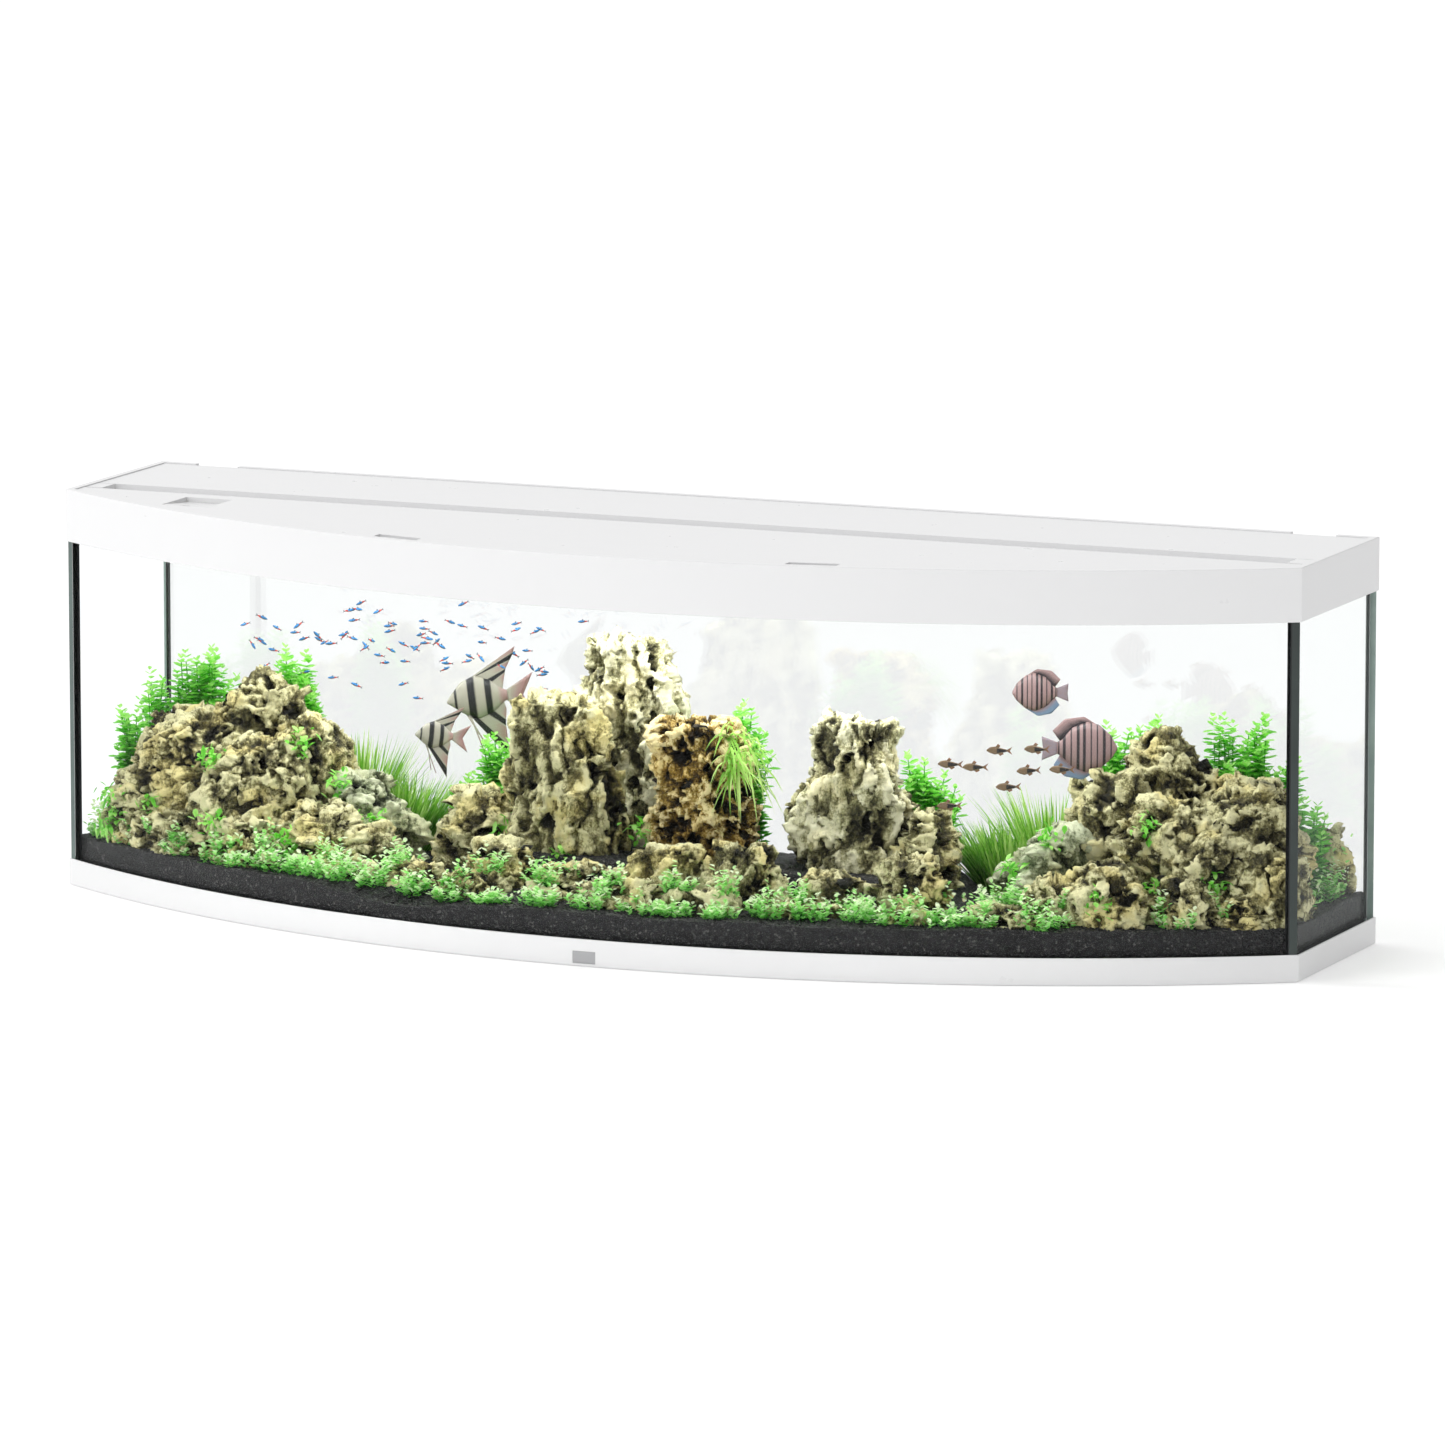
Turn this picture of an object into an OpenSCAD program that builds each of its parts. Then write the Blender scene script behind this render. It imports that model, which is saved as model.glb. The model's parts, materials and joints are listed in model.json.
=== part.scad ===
// Bow-front aquarium with a trimmed base, a glued glass tank, a lift-off hood with two lids,
// light bars and a rock landscape.
// Sizes are in millimetres. X runs along the width, -Y is the curved front, Z is up.
// The origin is on the floor, under the middle of the overall box.

/* [Tank] */
// Overall width
tank_w = 2000; // [2000:10:2100]
// Depth of the flat side walls
side_depth = 330; // [330:5:350]
// How far the front bows out past its corners
bow = 300; // [290:5:310]
// Overall height with the hood on
tank_h = 610; // [600:5:660]
// Thickness of every glass pane
glass_t = 10; // [8:1:12]

/* [Base] */
// Height of the base trim
base_h = 40; // [38:1:50]
// Wall thickness of the plastic trim and hood
wall_t = 2.5; // [2:0.25:3]
// Width of the trim's ledge and foot under the glass
ledge_w = 32; // [28:1:40]

/* [Hood] */
// Height of the hood's outer wall
hood_h = 80; // [78:1:95]
// Width of the flat rim round the lids
rim_w = 12; // [11:0.5:14]
// Thickness of both lids
lid_t = 4; // [3:0.5:4]
// Radius of the hinge bead along each lid
bead_r = 3.5; // [3:0.25:3.5]
// Where the front lid's hinge line lies
front_hinge_y = 22; // [18:1:26]
// Front edge of the rear cover, behind the grip channel
rear_cover_y = 74.5; // [72:0.5:78]
// Middle of each finger notch, from the centre line
notch_x = 332; // [300:1:360]
// Width of each finger notch
notch_w = 75; // [60:1:90]

/* [Feeding hatch] */
// Middle of the hatch along the width
hatch_x = -760; // [-780:5:-700]
// Middle of the hatch along the depth
hatch_y = -50; // [-55:1:-45]
// Width of the hatch
hatch_w = 77; // [70:1:80]
// Depth of the hatch
hatch_d = 84; // [80:1:90]

/* [Lights] */
// Length of each light bar
light_l = 1900; // [1600:10:1900]
// Width of each light bar
light_w = 36; // [30:1:38]
// Height of each light bar
light_h = 14; // [12:1:14]

/* [Landscape] */
// Height of the gravel line above the floor at the curved front
gravel_front = 76; // [70:1:90]
// Gravel line under the middle of the side walls
gravel_mid = 74; // [66:1:80]
// Gravel line at the rear glass
gravel_back = 58; // [52:1:70]
// Top of the raised gravel terrace in the middle
terrace_h = 122; // [110:1:130]

/* [Hidden] */

// Plan of the tank: a rectangle whose front is one true arc
half_w = tank_w / 2;
front_y = -(side_depth + bow) / 2;
rear_y = (side_depth + bow) / 2;
corner_y = front_y + bow;
arc_r = (half_w * half_w + bow * bow) / (2 * bow);
arc_cy = front_y + arc_r;
arc_fn = 720;
round_fn = 48;
over = 5;

// Height levels from the floor up
ledge_z = 18;
ledge_t = 4;
foam_t = 4;
floor_glass_z = ledge_z + foam_t;
wall_glass_z = floor_glass_z + glass_t;
glass_inset = 3;
inner_inset = glass_inset + glass_t;
hood_z = tank_h - hood_h;
rest_z = tank_h - 35;
rest_t = 3;
brace_z = rest_z - 27;
brace_w = 60;
shelf_z = tank_h - 12.5;
shelf_t = 3.5;
shelf_top = shelf_z + shelf_t;
shelf_w = 20;
rim_t = 2.6;
lid_top = tank_h - 1.5;
lid_z = lid_top - lid_t;
hinge_z = tank_h - 4.6;

// Gaps
seam_gap = 1.5;
fit_gap = 0.6;
bead_gap = 0.3;
lid_inset = rim_w + fit_gap;
lid_half_w = half_w - lid_inset;
rear_hinge_y = rear_y - lid_inset - bead_r - 0.4;

// Hinge hardware
pin_r = 1.5;
pin_bore_r = 1.56;
pin_l = 22;
rail_t = 3;
rail_y0 = front_hinge_y - 6;
rail_y1 = rear_cover_y + 7.5;
rail_z = shelf_z - rail_t;
channel_half = 960;
saddle_top = lid_z - 0.5;
ear_top = tank_h - rim_t - 0.2;

// Lights
light_front_y = (rail_y0 + rail_y1) / 2;
light_rear_y = rear_y - 100;
clip_t = 2.5;
light_z = rail_z - clip_t - light_h;
strap_w = 30;
strap_xs = [-800, -330, 330, 800];

// Landscape
rock_base = 50;
terrace_x = [-235, 440];

// ---- Plan helpers ----

// Front edge of the plan at width x, moved in by inset
function arc_y(x, inset) = arc_cy - sqrt(pow(arc_r - inset, 2) - x * x);

// Slab with the tank's plan, moved in by inset
module plan_slab(inset, z0, z1) {
    intersection() {
        translate([-(half_w - inset), front_y - over, z0])
            cube([2 * (half_w - inset), rear_y - inset - front_y + over, z1 - z0]);
        translate([0, arc_cy, z0])
            cylinder(r = arc_r - inset, h = z1 - z0, $fn = arc_fn);
    }
}

// Part of the curved front between two insets and two widths
module arc_band(inset0, inset1, x0, x1, z0, z1) {
    intersection() {
        translate([0, arc_cy, z0])
            difference() {
                cylinder(r = arc_r - inset0, h = z1 - z0, $fn = arc_fn);
                translate([0, 0, -over])
                    cylinder(r = arc_r - inset1, h = z1 - z0 + 2 * over, $fn = arc_fn);
            }
        translate([x0, front_y - over, z0])
            cube([x1 - x0, rear_y - front_y, z1 - z0]);
    }
}

// Outline of [y, z] points drawn along X
module along_x(x0, x1, outline) {
    translate([x0, 0, 0])
        rotate([90, 0, 90])
            linear_extrude(x1 - x0)
                polygon(outline);
}

// Outline of [x, z] points drawn along Y
module along_y(y0, y1, outline) {
    translate([0, y1, 0])
        rotate([90, 0, 0])
            linear_extrude(y1 - y0)
                polygon(outline);
}

// Box from its lowest to its highest corner
module box(low, high) {
    translate(low)
        cube(high - low);
}

// Round bar along X
module bar_x(x0, x1, y, z, r) {
    translate([x0, y, z])
        rotate([0, 90, 0])
            cylinder(r = r, h = x1 - x0, $fn = round_fn);
}

module both_sides() {
    children();
    mirror([1, 0, 0])
        children();
}

// ---- Mitred frame rails ----

mitre_a = (90 - asin(half_w / arc_r)) / 2;
mitre_reach = 100;
front_mitre = [cos(mitre_a), sin(mitre_a)];
rear_mitre = [cos(45), -sin(45)];
left_front = [-half_w, corner_y];
left_rear = [-half_w, rear_y];
function flip(p) = [-p[0], p[1]];

module clip_prism(outline) {
    translate([0, 0, -over])
        linear_extrude(tank_h + 2 * over)
            polygon(outline);
}

module left_clip() {
    clip_prism([left_front - over * front_mitre, left_front + mitre_reach * front_mitre,
        left_rear + mitre_reach * rear_mitre, left_rear - over * rear_mitre]);
}

module rear_clip() {
    clip_prism([left_rear - over * rear_mitre, left_rear + mitre_reach * rear_mitre,
        flip(left_rear + mitre_reach * rear_mitre), flip(left_rear - over * rear_mitre)]);
}

module front_clip() {
    clip_prism([left_front - over * front_mitre, left_front + mitre_reach * front_mitre,
        flip(left_front + mitre_reach * front_mitre), flip(left_front - over * front_mitre),
        [half_w, front_y - over], [-half_w, front_y - over]]);
}

// A section is a list of [inset, z] points
module front_rail(section) {
    intersection() {
        translate([0, arc_cy, 0])
            rotate([0, 0, -135])
                rotate_extrude(angle = 90, $fn = arc_fn)
                    polygon([for (p = section) [arc_r - p[0], p[1]]]);
        front_clip();
    }
}

module left_rail(section) {
    intersection() {
        along_y(corner_y - over, rear_y, [for (p = section) [-half_w + p[0], p[1]]]);
        left_clip();
    }
}

module rear_rail(section) {
    intersection() {
        along_x(-half_w, half_w, [for (p = section) [rear_y - p[0], p[1]]]);
        rear_clip();
    }
}

edge = 0.8;
base_section = [[edge, 0], [0, edge], [0, base_h - edge], [edge, base_h], [wall_t, base_h], [wall_t, ledge_z],
    [ledge_w, ledge_z], [ledge_w, 0], [ledge_w - ledge_t, 0], [ledge_w - ledge_t, ledge_z - ledge_t],
    [wall_t, ledge_z - ledge_t], [wall_t, 0]];

hood_section = [[edge, hood_z], [0, hood_z + edge], [0, tank_h - 1.2], [0.4, tank_h - 0.4], [1.2, tank_h],
    [rim_w - 0.4, tank_h], [rim_w, tank_h - 0.4], [rim_w, tank_h - rim_t], [wall_t, tank_h - rim_t],
    [wall_t, shelf_top], [shelf_w, shelf_top], [shelf_w, shelf_z], [wall_t, shelf_z],
    [wall_t, rest_z + rest_t], [shelf_w + 2, rest_z + rest_t], [shelf_w + 2, rest_z], [wall_t, rest_z],
    [wall_t, hood_z]];

// ---- Base ----

badge_x = [-23, 13];
badge_z = [4, 22];
badge_t = 1;

module base_front_rail() {
    color("white")
        difference() {
            front_rail(base_section);
            arc_band(-over, badge_t, badge_x[0] - 0.3, badge_x[1] + 0.3, badge_z[0] - 0.3, badge_z[1] + 0.3);
        }
}

module base_left_rail() {
    color("white")
        left_rail(base_section);
}

module base_right_rail() {
    color("white")
        mirror([1, 0, 0])
            left_rail(base_section);
}

module base_rear_rail() {
    color("white")
        rear_rail(base_section);
}

module base_panel() {
    color("gainsboro")
        plan_slab(ledge_w + 0.3, 0, ledge_z);
}

module foam_mat() {
    color("dimgray")
        plan_slab(glass_inset + 2, ledge_z, floor_glass_z);
}

module badge_plate() {
    color("silver")
        arc_band(0, badge_t - 0.1, badge_x[0], badge_x[1], badge_z[0], badge_z[1]);
}

// ---- Glass ----

pane_end = half_w - inner_inset - seam_gap;
side_in = half_w - inner_inset;
bead_top = wall_glass_z + 6;

module bottom_glass() {
    color([0.75, 0.9, 0.87, 0.4])
        plan_slab(glass_inset, floor_glass_z, wall_glass_z);
}

module front_glass() {
    color([0.75, 0.9, 0.87, 0.4])
        arc_band(glass_inset, inner_inset, -pane_end, pane_end, wall_glass_z, rest_z);
}

module rear_glass() {
    color([0.75, 0.9, 0.87, 0.4])
        box([-pane_end, rear_y - inner_inset, wall_glass_z], [pane_end, rear_y - glass_inset, rest_z]);
}

module left_glass() {
    color([0.75, 0.9, 0.87, 0.4])
        intersection() {
            plan_slab(glass_inset, wall_glass_z, rest_z);
            box([-half_w, front_y, wall_glass_z], [-side_in, rear_y, rest_z]);
        }
}

module right_glass() {
    mirror([1, 0, 0])
        left_glass();
}

// Upright seam in the right front corner: the joint and the bead inside it
seam_leg = 9;
function front_seam(grow) = [[pane_end - grow, arc_y(pane_end, glass_inset) + 0.5],
    [side_in, arc_y(side_in, glass_inset) + 0.5], [side_in, arc_y(side_in, inner_inset) + seam_leg + grow],
    [side_in - seam_leg - grow, arc_y(side_in - seam_leg, inner_inset) + 0.1],
    [pane_end - grow, arc_y(pane_end, inner_inset) + 0.1]];

// The right rear corner's seam has only a small bead
rear_leg = 2.5;
function rear_seam(grow) = [[pane_end, rear_y - glass_inset - 0.5], [side_in, rear_y - glass_inset - 0.5],
    [side_in, rear_y - inner_inset - rear_leg - grow], [side_in - rear_leg - grow, rear_y - inner_inset],
    [pane_end, rear_y - inner_inset]];

module silicone_seams() {
    color([0.1, 0.1, 0.1])
        both_sides()
            translate([0, 0, bead_top + 0.5])
                linear_extrude(brace_z - bead_top - 1) {
                    polygon(front_seam(0));
                    polygon(rear_seam(0));
                }
}

module floor_bead() {
    color([0.1, 0.1, 0.1])
        difference() {
            plan_slab(inner_inset, wall_glass_z, bead_top);
            plan_slab(inner_inset + 6, wall_glass_z - over, bead_top + over);
        }
}

// Short glass strips laid end to end, so that each is easy to cut to the bow
module front_brace() {
    strips = 8;
    strip_gap = 0.3;
    strip_l = (2 * side_in + strip_gap) / strips;
    color([0.75, 0.9, 0.87, 0.4])
        for (k = [0:strips - 1])
            arc_band(inner_inset, inner_inset + brace_w, -side_in + k * strip_l,
                -side_in + (k + 1) * strip_l - strip_gap, brace_z, brace_z + glass_t);
}

module rear_brace() {
    color([0.75, 0.9, 0.87, 0.4])
        box([-side_in, rear_y - inner_inset - brace_w, brace_z],
            [side_in, rear_y - inner_inset, brace_z + glass_t]);
}

module cross_braces() {
    cross_w = 100;
    color([0.75, 0.9, 0.87, 0.4])
        both_sides()
            intersection() {
                box([notch_x - cross_w / 2, front_y, brace_z],
                    [notch_x + cross_w / 2, rear_y - inner_inset - brace_w, brace_z + glass_t]);
                translate([0, arc_cy, brace_z])
                    cylinder(r = arc_r - inner_inset - brace_w, h = glass_t, $fn = arc_fn);
            }
}

// ---- Hood frame ----

cable_x = 900;
cable_w = 72;
cable_z = shelf_z - 9.5;
corner_screws = [[half_w - 11, 10], [half_w - 11, 280]];
screw_r = 1.8;
screw_hole_r = 1.9;

module screw_holes() {
    both_sides()
        for (p = corner_screws)
            translate([p[0], p[1], rest_z + 5])
                cylinder(r = screw_hole_r, h = shelf_top - rest_z, $fn = round_fn);
}

module hood_front_apron() {
    color("white")
        front_rail(hood_section);
}

module hood_left_rail() {
    color("white")
        difference() {
            left_rail(hood_section);
            screw_holes();
        }
}

module hood_right_rail() {
    mirror([1, 0, 0])
        hood_left_rail();
}

module hood_rear_rail() {
    color("white")
        difference() {
            rear_rail(hood_section);
            both_sides()
                box([cable_x - cable_w / 2, rear_y - shelf_w - over, cable_z],
                    [cable_x + cable_w / 2, rear_y + over, tank_h + over]);
        }
}

module hood_corner_blocks() {
    color("whitesmoke")
        difference() {
            both_sides()
                intersection() {
                    plan_slab(wall_t + 0.05, rest_z + rest_t, shelf_z);
                    union() {
                        box([half_w - 34, corner_y - 12, rest_z], [half_w, corner_y + 29, tank_h]);
                        box([half_w - 24, rear_y - 45, rest_z], [half_w, rear_y, tank_h]);
                    }
                }
            screw_holes();
        }
}

module hood_screws() {
    head_r = 3.6;
    head_h = 1.8;
    color("silver")
        both_sides()
            for (p = corner_screws) {
                translate([p[0], p[1], rest_z + 8])
                    cylinder(r = screw_r, h = shelf_top - rest_z - 8, $fn = round_fn);
                translate([p[0], p[1], shelf_top])
                    difference() {
                        cylinder(r = head_r, h = head_h, $fn = round_fn);
                        box([-0.5, -head_r, head_h - 0.8], [0.5, head_r, head_h + 1]);
                    }
            }
}

// ---- Hinges ----

// Flat bar across the hood that is also the floor of the grip channel
module hinge_rail() {
    color("white")
        box([-(half_w - wall_t - 0.3), rail_y0, rail_z], [half_w - wall_t - 0.3, rail_y1, shelf_z]);
}

// Open troughs that the lids' beads turn in
module hinge_saddles() {
    saddle_half = half_w - shelf_w - 0.4;
    color("white")
        difference() {
            union() {
                box([-saddle_half, front_hinge_y - 5, shelf_z], [saddle_half, front_hinge_y + 6, saddle_top]);
                box([-saddle_half, rear_y - shelf_w, shelf_top], [saddle_half, rear_y - rim_w, saddle_top]);
            }
            for (y = [front_hinge_y, rear_hinge_y])
                bar_x(-half_w, half_w, y, hinge_z, bead_r + bead_gap);
            both_sides()
                box([cable_x - cable_w / 2, rear_y - shelf_w - over, cable_z],
                    [cable_x + cable_w / 2, rear_y + over, tank_h + over]);
        }
}

// Blocks that close the channel's ends and carry the hinge pins
module hinge_end_blocks() {
    ear_x = lid_half_w + fit_gap;
    wall_x = half_w - wall_t - 0.1;
    shelf_x = half_w - shelf_w - 0.4;
    block_y0 = front_hinge_y + 8;
    block_y1 = rear_cover_y - 2.5;
    ear_w = 6;
    color("white")
        both_sides()
            difference() {
                union() {
                    box([channel_half, block_y0, shelf_z], [shelf_x, block_y1, shelf_top + 0.1]);
                    box([channel_half, block_y0, shelf_top], [lid_half_w, block_y1, lid_top]);
                    box([lid_half_w - over, block_y0, shelf_top], [wall_x, block_y1, ear_top]);
                    box([ear_x, front_hinge_y - ear_w, shelf_top], [wall_x, block_y0 + over, ear_top]);
                    box([ear_x, rear_hinge_y - ear_w, shelf_top],
                        [wall_x, rear_hinge_y + ear_w - 2, ear_top]);
                }
                for (y = [front_hinge_y, rear_hinge_y])
                    bar_x(ear_x - over, half_w, y, hinge_z, pin_r + 0.01);
            }
}

module hinge_pins() {
    color("silver")
        both_sides()
            for (y = [front_hinge_y, rear_hinge_y])
                bar_x(half_w - wall_t - 0.2 - pin_l, half_w - wall_t - 0.2, y, hinge_z, pin_r);
}

module pin_bores() {
    both_sides()
        for (y = [front_hinge_y, rear_hinge_y])
            bar_x(half_w - wall_t - 1.2 - pin_l, half_w, y, hinge_z, pin_bore_r);
}

// Shallow trays under the front lid's finger notches
module finger_cups() {
    cup_half = notch_w / 2 + 5;
    cup_t = 2;
    cup_reach = 54;
    cup_z = shelf_z - 6;
    color("white")
        both_sides()
            difference() {
                arc_band(shelf_w + 0.1, cup_reach, notch_x - cup_half, notch_x + cup_half, cup_z, saddle_top);
                arc_band(shelf_w + cup_t, cup_reach - cup_t, notch_x - cup_half + cup_t,
                    notch_x + cup_half - cup_t, cup_z + cup_t, tank_h);
                arc_band(0, shelf_w + over, notch_x - cup_half - 1, notch_x + cup_half + 1,
                    shelf_top, tank_h);
            }
}

// Rubber pads on the shelf that both lids rest on
module lid_bumpers() {
    bumper_h = lid_z - shelf_top - 0.05;
    front_pad_x = [0, 180, 520, 860];
    rear_pad_y = [110, 220];
    color("gray")
        both_sides() {
            for (x = front_pad_x)
                if (x > 0)
                    translate([x, arc_y(x, rim_w + 5), shelf_top])
                        cylinder(r = 2.5, h = bumper_h, $fn = round_fn);
            for (y = rear_pad_y)
                translate([half_w - rim_w - 4.5, y, shelf_top])
                    cylinder(r = 2.5, h = bumper_h, $fn = round_fn);
        }
}

// Rubber edging round the cable notches in the rear wall
module cable_grommets() {
    lip = 3;
    x0 = cable_x - cable_w / 2;
    x1 = cable_x + cable_w / 2;
    color([0.15, 0.15, 0.15])
        both_sides()
            along_y(rear_y - wall_t - 1, rear_y - 0.2, [[x0, cable_z], [x1, cable_z], [x1, tank_h - 4],
                [x1 - lip, tank_h - 4], [x1 - lip, cable_z + lip], [x0 + lip, cable_z + lip],
                [x0 + lip, tank_h - 4], [x0, tank_h - 4]]);
}

// ---- Lights ----

board_t = 1.6;
tube_t = 1.6;
diffuser_t = 2;
cap_l = 6;
light_ys = [light_front_y, light_rear_y];

module each_light() {
    for (y = light_ys)
        translate([0, y, 0])
            children();
}

// Straps from the hinge rail to the rear shelf
module light_straps() {
    color("white")
        for (x = strap_xs)
            box([x - strap_w / 2, rail_y1, rail_z], [x + strap_w / 2, rear_y - wall_t - 0.3, shelf_z]);
}

module light_clips() {
    grip_w = light_w / 2 + 1.5;
    slot_w = light_w / 2 + 0.1;
    foot_z = light_z + 5;
    clip_half = 9;
    color("silver")
        each_light()
            for (x = strap_xs)
                along_x(x - clip_half, x + clip_half, [[-grip_w, rail_z], [grip_w, rail_z], [grip_w, foot_z],
                    [slot_w, foot_z], [slot_w, light_z + light_h], [-slot_w, light_z + light_h],
                    [-slot_w, foot_z], [-grip_w, foot_z]]);
}

module light_housings() {
    half = light_w / 2;
    top = light_z + light_h;
    color("lightgray")
        each_light()
            along_x(-light_l / 2 + cap_l, light_l / 2 - cap_l, [[-half, light_z], [-half, top], [half, top],
                [half, light_z], [half - tube_t, light_z], [half - tube_t, top - tube_t],
                [-half + tube_t, top - tube_t], [-half + tube_t, light_z]]);
}

module light_boards() {
    board_l = light_l - 2 * cap_l - 8;
    board_half = light_w / 2 - tube_t - 0.3;
    board_z = light_z + light_h - tube_t - board_t;
    color("ivory")
        each_light()
            box([-board_l / 2, -board_half, board_z], [board_l / 2, board_half, board_z + board_t]);
}

module light_diffusers() {
    diffuser_half = light_w / 2 - tube_t;
    color("white")
        each_light()
            box([-light_l / 2 + cap_l, -diffuser_half, light_z + 0.5],
                [light_l / 2 - cap_l, diffuser_half, light_z + 0.5 + diffuser_t]);
}

module light_end_caps() {
    color("gray")
        each_light()
            both_sides()
                box([light_l / 2 - cap_l, -light_w / 2, light_z],
                    [light_l / 2, light_w / 2, light_z + light_h]);
}

// ---- Lids ----

hatch_pin_y = hatch_y - hatch_d / 2 + 4;
hatch_pin_z = tank_h - 4.5;
hatch_pin_r = 1;
hatch_bore_r = 1.06;
barrel_r = 2.3;

module lid_plate(y0, y1) {
    intersection() {
        plan_slab(lid_inset, lid_z, lid_top);
        box([-half_w, y0, lid_z], [half_w, y1, lid_top]);
    }
}

module front_lid() {
    notch_in = 40;
    rib_t = 4;
    rib_xs = [-600, -200, 200, 600];
    rib_y = [-130, 0];
    collar_t = 2;
    collar_h = 8;
    x0 = hatch_x - hatch_w / 2;
    x1 = hatch_x + hatch_w / 2;
    y0 = hatch_y - hatch_d / 2;
    y1 = hatch_y + hatch_d / 2;
    color("white")
        difference() {
            union() {
                lid_plate(front_y, front_hinge_y);
                bar_x(-lid_half_w, lid_half_w, front_hinge_y, hinge_z, bead_r);
                for (x = rib_xs)
                    box([x - rib_t / 2, rib_y[0], lid_z - 6], [x + rib_t / 2, rib_y[1], lid_z + 1]);
                box([x0 - collar_t, y0 - collar_t, lid_z - collar_h],
                    [x1 + collar_t, y1 + collar_t, lid_z + 1]);
            }
            box([x0, y0, lid_z - collar_h - over], [x1, y1, tank_h + over]);
            both_sides()
                arc_band(-over, notch_in, notch_x - notch_w / 2, notch_x + notch_w / 2,
                    lid_z - over, tank_h + over);
            pin_bores();
            bar_x(x0 - collar_t - 1, x1 + collar_t + 1, hatch_pin_y, hatch_pin_z, hatch_pin_r + 0.01);
        }
}

module hatch_pin() {
    color("silver")
        bar_x(hatch_x - hatch_w / 2 - 2, hatch_x + hatch_w / 2 + 2, hatch_pin_y, hatch_pin_z, hatch_pin_r);
}

// Coil round the pin, drawn as its turned outline
spring_half = 6;
spring_turns = 10;
module hatch_spring() {
    wire = spring_half / spring_turns;
    inner_r = hatch_pin_r + 0.2;
    color("dimgray")
        translate([hatch_x - spring_half, hatch_pin_y, hatch_pin_z])
            rotate([0, 90, 0])
                rotate_extrude($fn = round_fn)
                    polygon(concat([[inner_r, 2 * spring_half], [inner_r, 0]],
                        [for (k = [0:spring_turns - 1]) each [[inner_r + wire * 0.7, 2 * wire * k],
                            [inner_r + wire * 1.4, 2 * wire * (k + 0.5)]]],
                        [[inner_r + wire * 0.7, 2 * spring_half]]));
}

// Ramp that swings down into the tank about its front edge
module feeding_flap() {
    side_gap = 1.2;
    flap_t = 2.5;
    drop = 7;
    flap_end = hatch_y + hatch_d / 2 - 2;
    x0 = hatch_x - hatch_w / 2 + side_gap;
    x1 = hatch_x + hatch_w / 2 - side_gap;
    flap_top = lid_top - 0.4;
    color("whitesmoke")
        difference() {
            union() {
                bar_x(x0, x1, hatch_pin_y, hatch_pin_z, barrel_r);
                along_x(x0, x1, [[hatch_pin_y, flap_top - flap_t], [hatch_pin_y, flap_top],
                    [hatch_pin_y + 4, flap_top], [flap_end, flap_top - drop],
                    [flap_end, flap_top - drop - flap_t], [hatch_pin_y + 4, flap_top - flap_t]]);
            }
            bar_x(x0 - 1, x1 + 1, hatch_pin_y, hatch_pin_z, hatch_bore_r);
            bar_x(hatch_x - spring_half - 0.5, hatch_x + spring_half + 0.5, hatch_pin_y, hatch_pin_z,
                barrel_r + 0.5);
        }
}

module rear_cover() {
    flange_t = 2.5;
    flange_h = 5;
    color("white")
        difference() {
            union() {
                lid_plate(rear_cover_y, rear_hinge_y);
                bar_x(-lid_half_w, lid_half_w, rear_hinge_y, hinge_z, bead_r);
                box([-(half_w - shelf_w - 2), rear_cover_y, lid_z - flange_h],
                    [half_w - shelf_w - 2, rear_cover_y + flange_t, lid_z + 1]);
            }
            pin_bores();
        }
}

// ---- Landscape ----

// Side view of the bed's top, from the front to the rear
bed_line = [[front_y, gravel_front], [0, gravel_mid], [rear_y, gravel_back]];
terrace_line = [[-122, gravel_back], [-96, terrace_h - 4], [70, terrace_h], [150, gravel_back]];

module terrace() {
    along_x(terrace_x[0], terrace_x[1], terrace_line);
}

// Everything under the gravel's surface
module ground() {
    along_x(-half_w, half_w, concat([[front_y, 0]], bed_line, [[rear_y, 0]]));
    terrace();
}

module gravel_bed() {
    color([0.08, 0.08, 0.08])
        difference() {
            union() {
                plan_slab(inner_inset + 6.5, wall_glass_z, bead_top + 1);
                intersection() {
                    plan_slab(inner_inset + 0.4, bead_top + 0.3, tank_h);
                    ground();
                }
            }
            both_sides()
                translate([0, 0, bead_top])
                    linear_extrude(tank_h) {
                        polygon(front_seam(0.5));
                        polygon(rear_seam(0.5));
                    }
        }
}

// Ring of irregular points inside a w by d oval
function rim_points(w, d, seed, s) = [for (k = [0:8])
    let (r = s * (0.91 + 0.09 * sin(137 * seed + 151 * k)))
    [w / 2 * r * cos(40 * k + 9 * seed), d / 2 * r * sin(40 * k + 9 * seed)]];

// Stone that fills span = [x0, x1, y0, y1] at its foot and narrows to a crown
module stone(span, top, seed, crown = 0.5, shoulder = 0.6, lean = 0) {
    w = span[1] - span[0];
    d = span[3] - span[2];
    slab = 1;
    difference() {
        translate([(span[0] + span[1]) / 2, (span[2] + span[3]) / 2, 0])
            hull() {
                translate([0, 0, rock_base])
                    linear_extrude(slab)
                        polygon(rim_points(w, d, seed, 1));
                translate([0, 0, rock_base + shoulder * (top - rock_base)])
                    linear_extrude(slab)
                        polygon(rim_points(w, d, seed + 1, 0.96));
                translate([lean * w, 0, top - slab])
                    linear_extrude(slab)
                        polygon(rim_points(w, d, seed + 2, crown));
            }
        ground();
    }
}

// The same stone turned left to right, for the right mound
module stone_mirrored(span, top, seed, crown = 0.5, shoulder = 0.6, lean = 0) {
    mirror([1, 0, 0])
        stone([-span[1], -span[0], span[2], span[3]], top, seed, crown, shoulder, lean);
}

module rock_left_apex() {
    color("darkkhaki")
        stone([-781, -628, 18, 112], 345, 1, 0.25, 0.5);
}

module rock_left_round() {
    color("darkkhaki")
        stone([-934, -788, 45, 150], 281, 2, 0.65, 0.7, 0.1);
}

module rock_left_overhang() {
    color("darkkhaki")
        stone([-855, -562, -62, 12], 227, 3, 0.6, 0.65);
}

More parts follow.
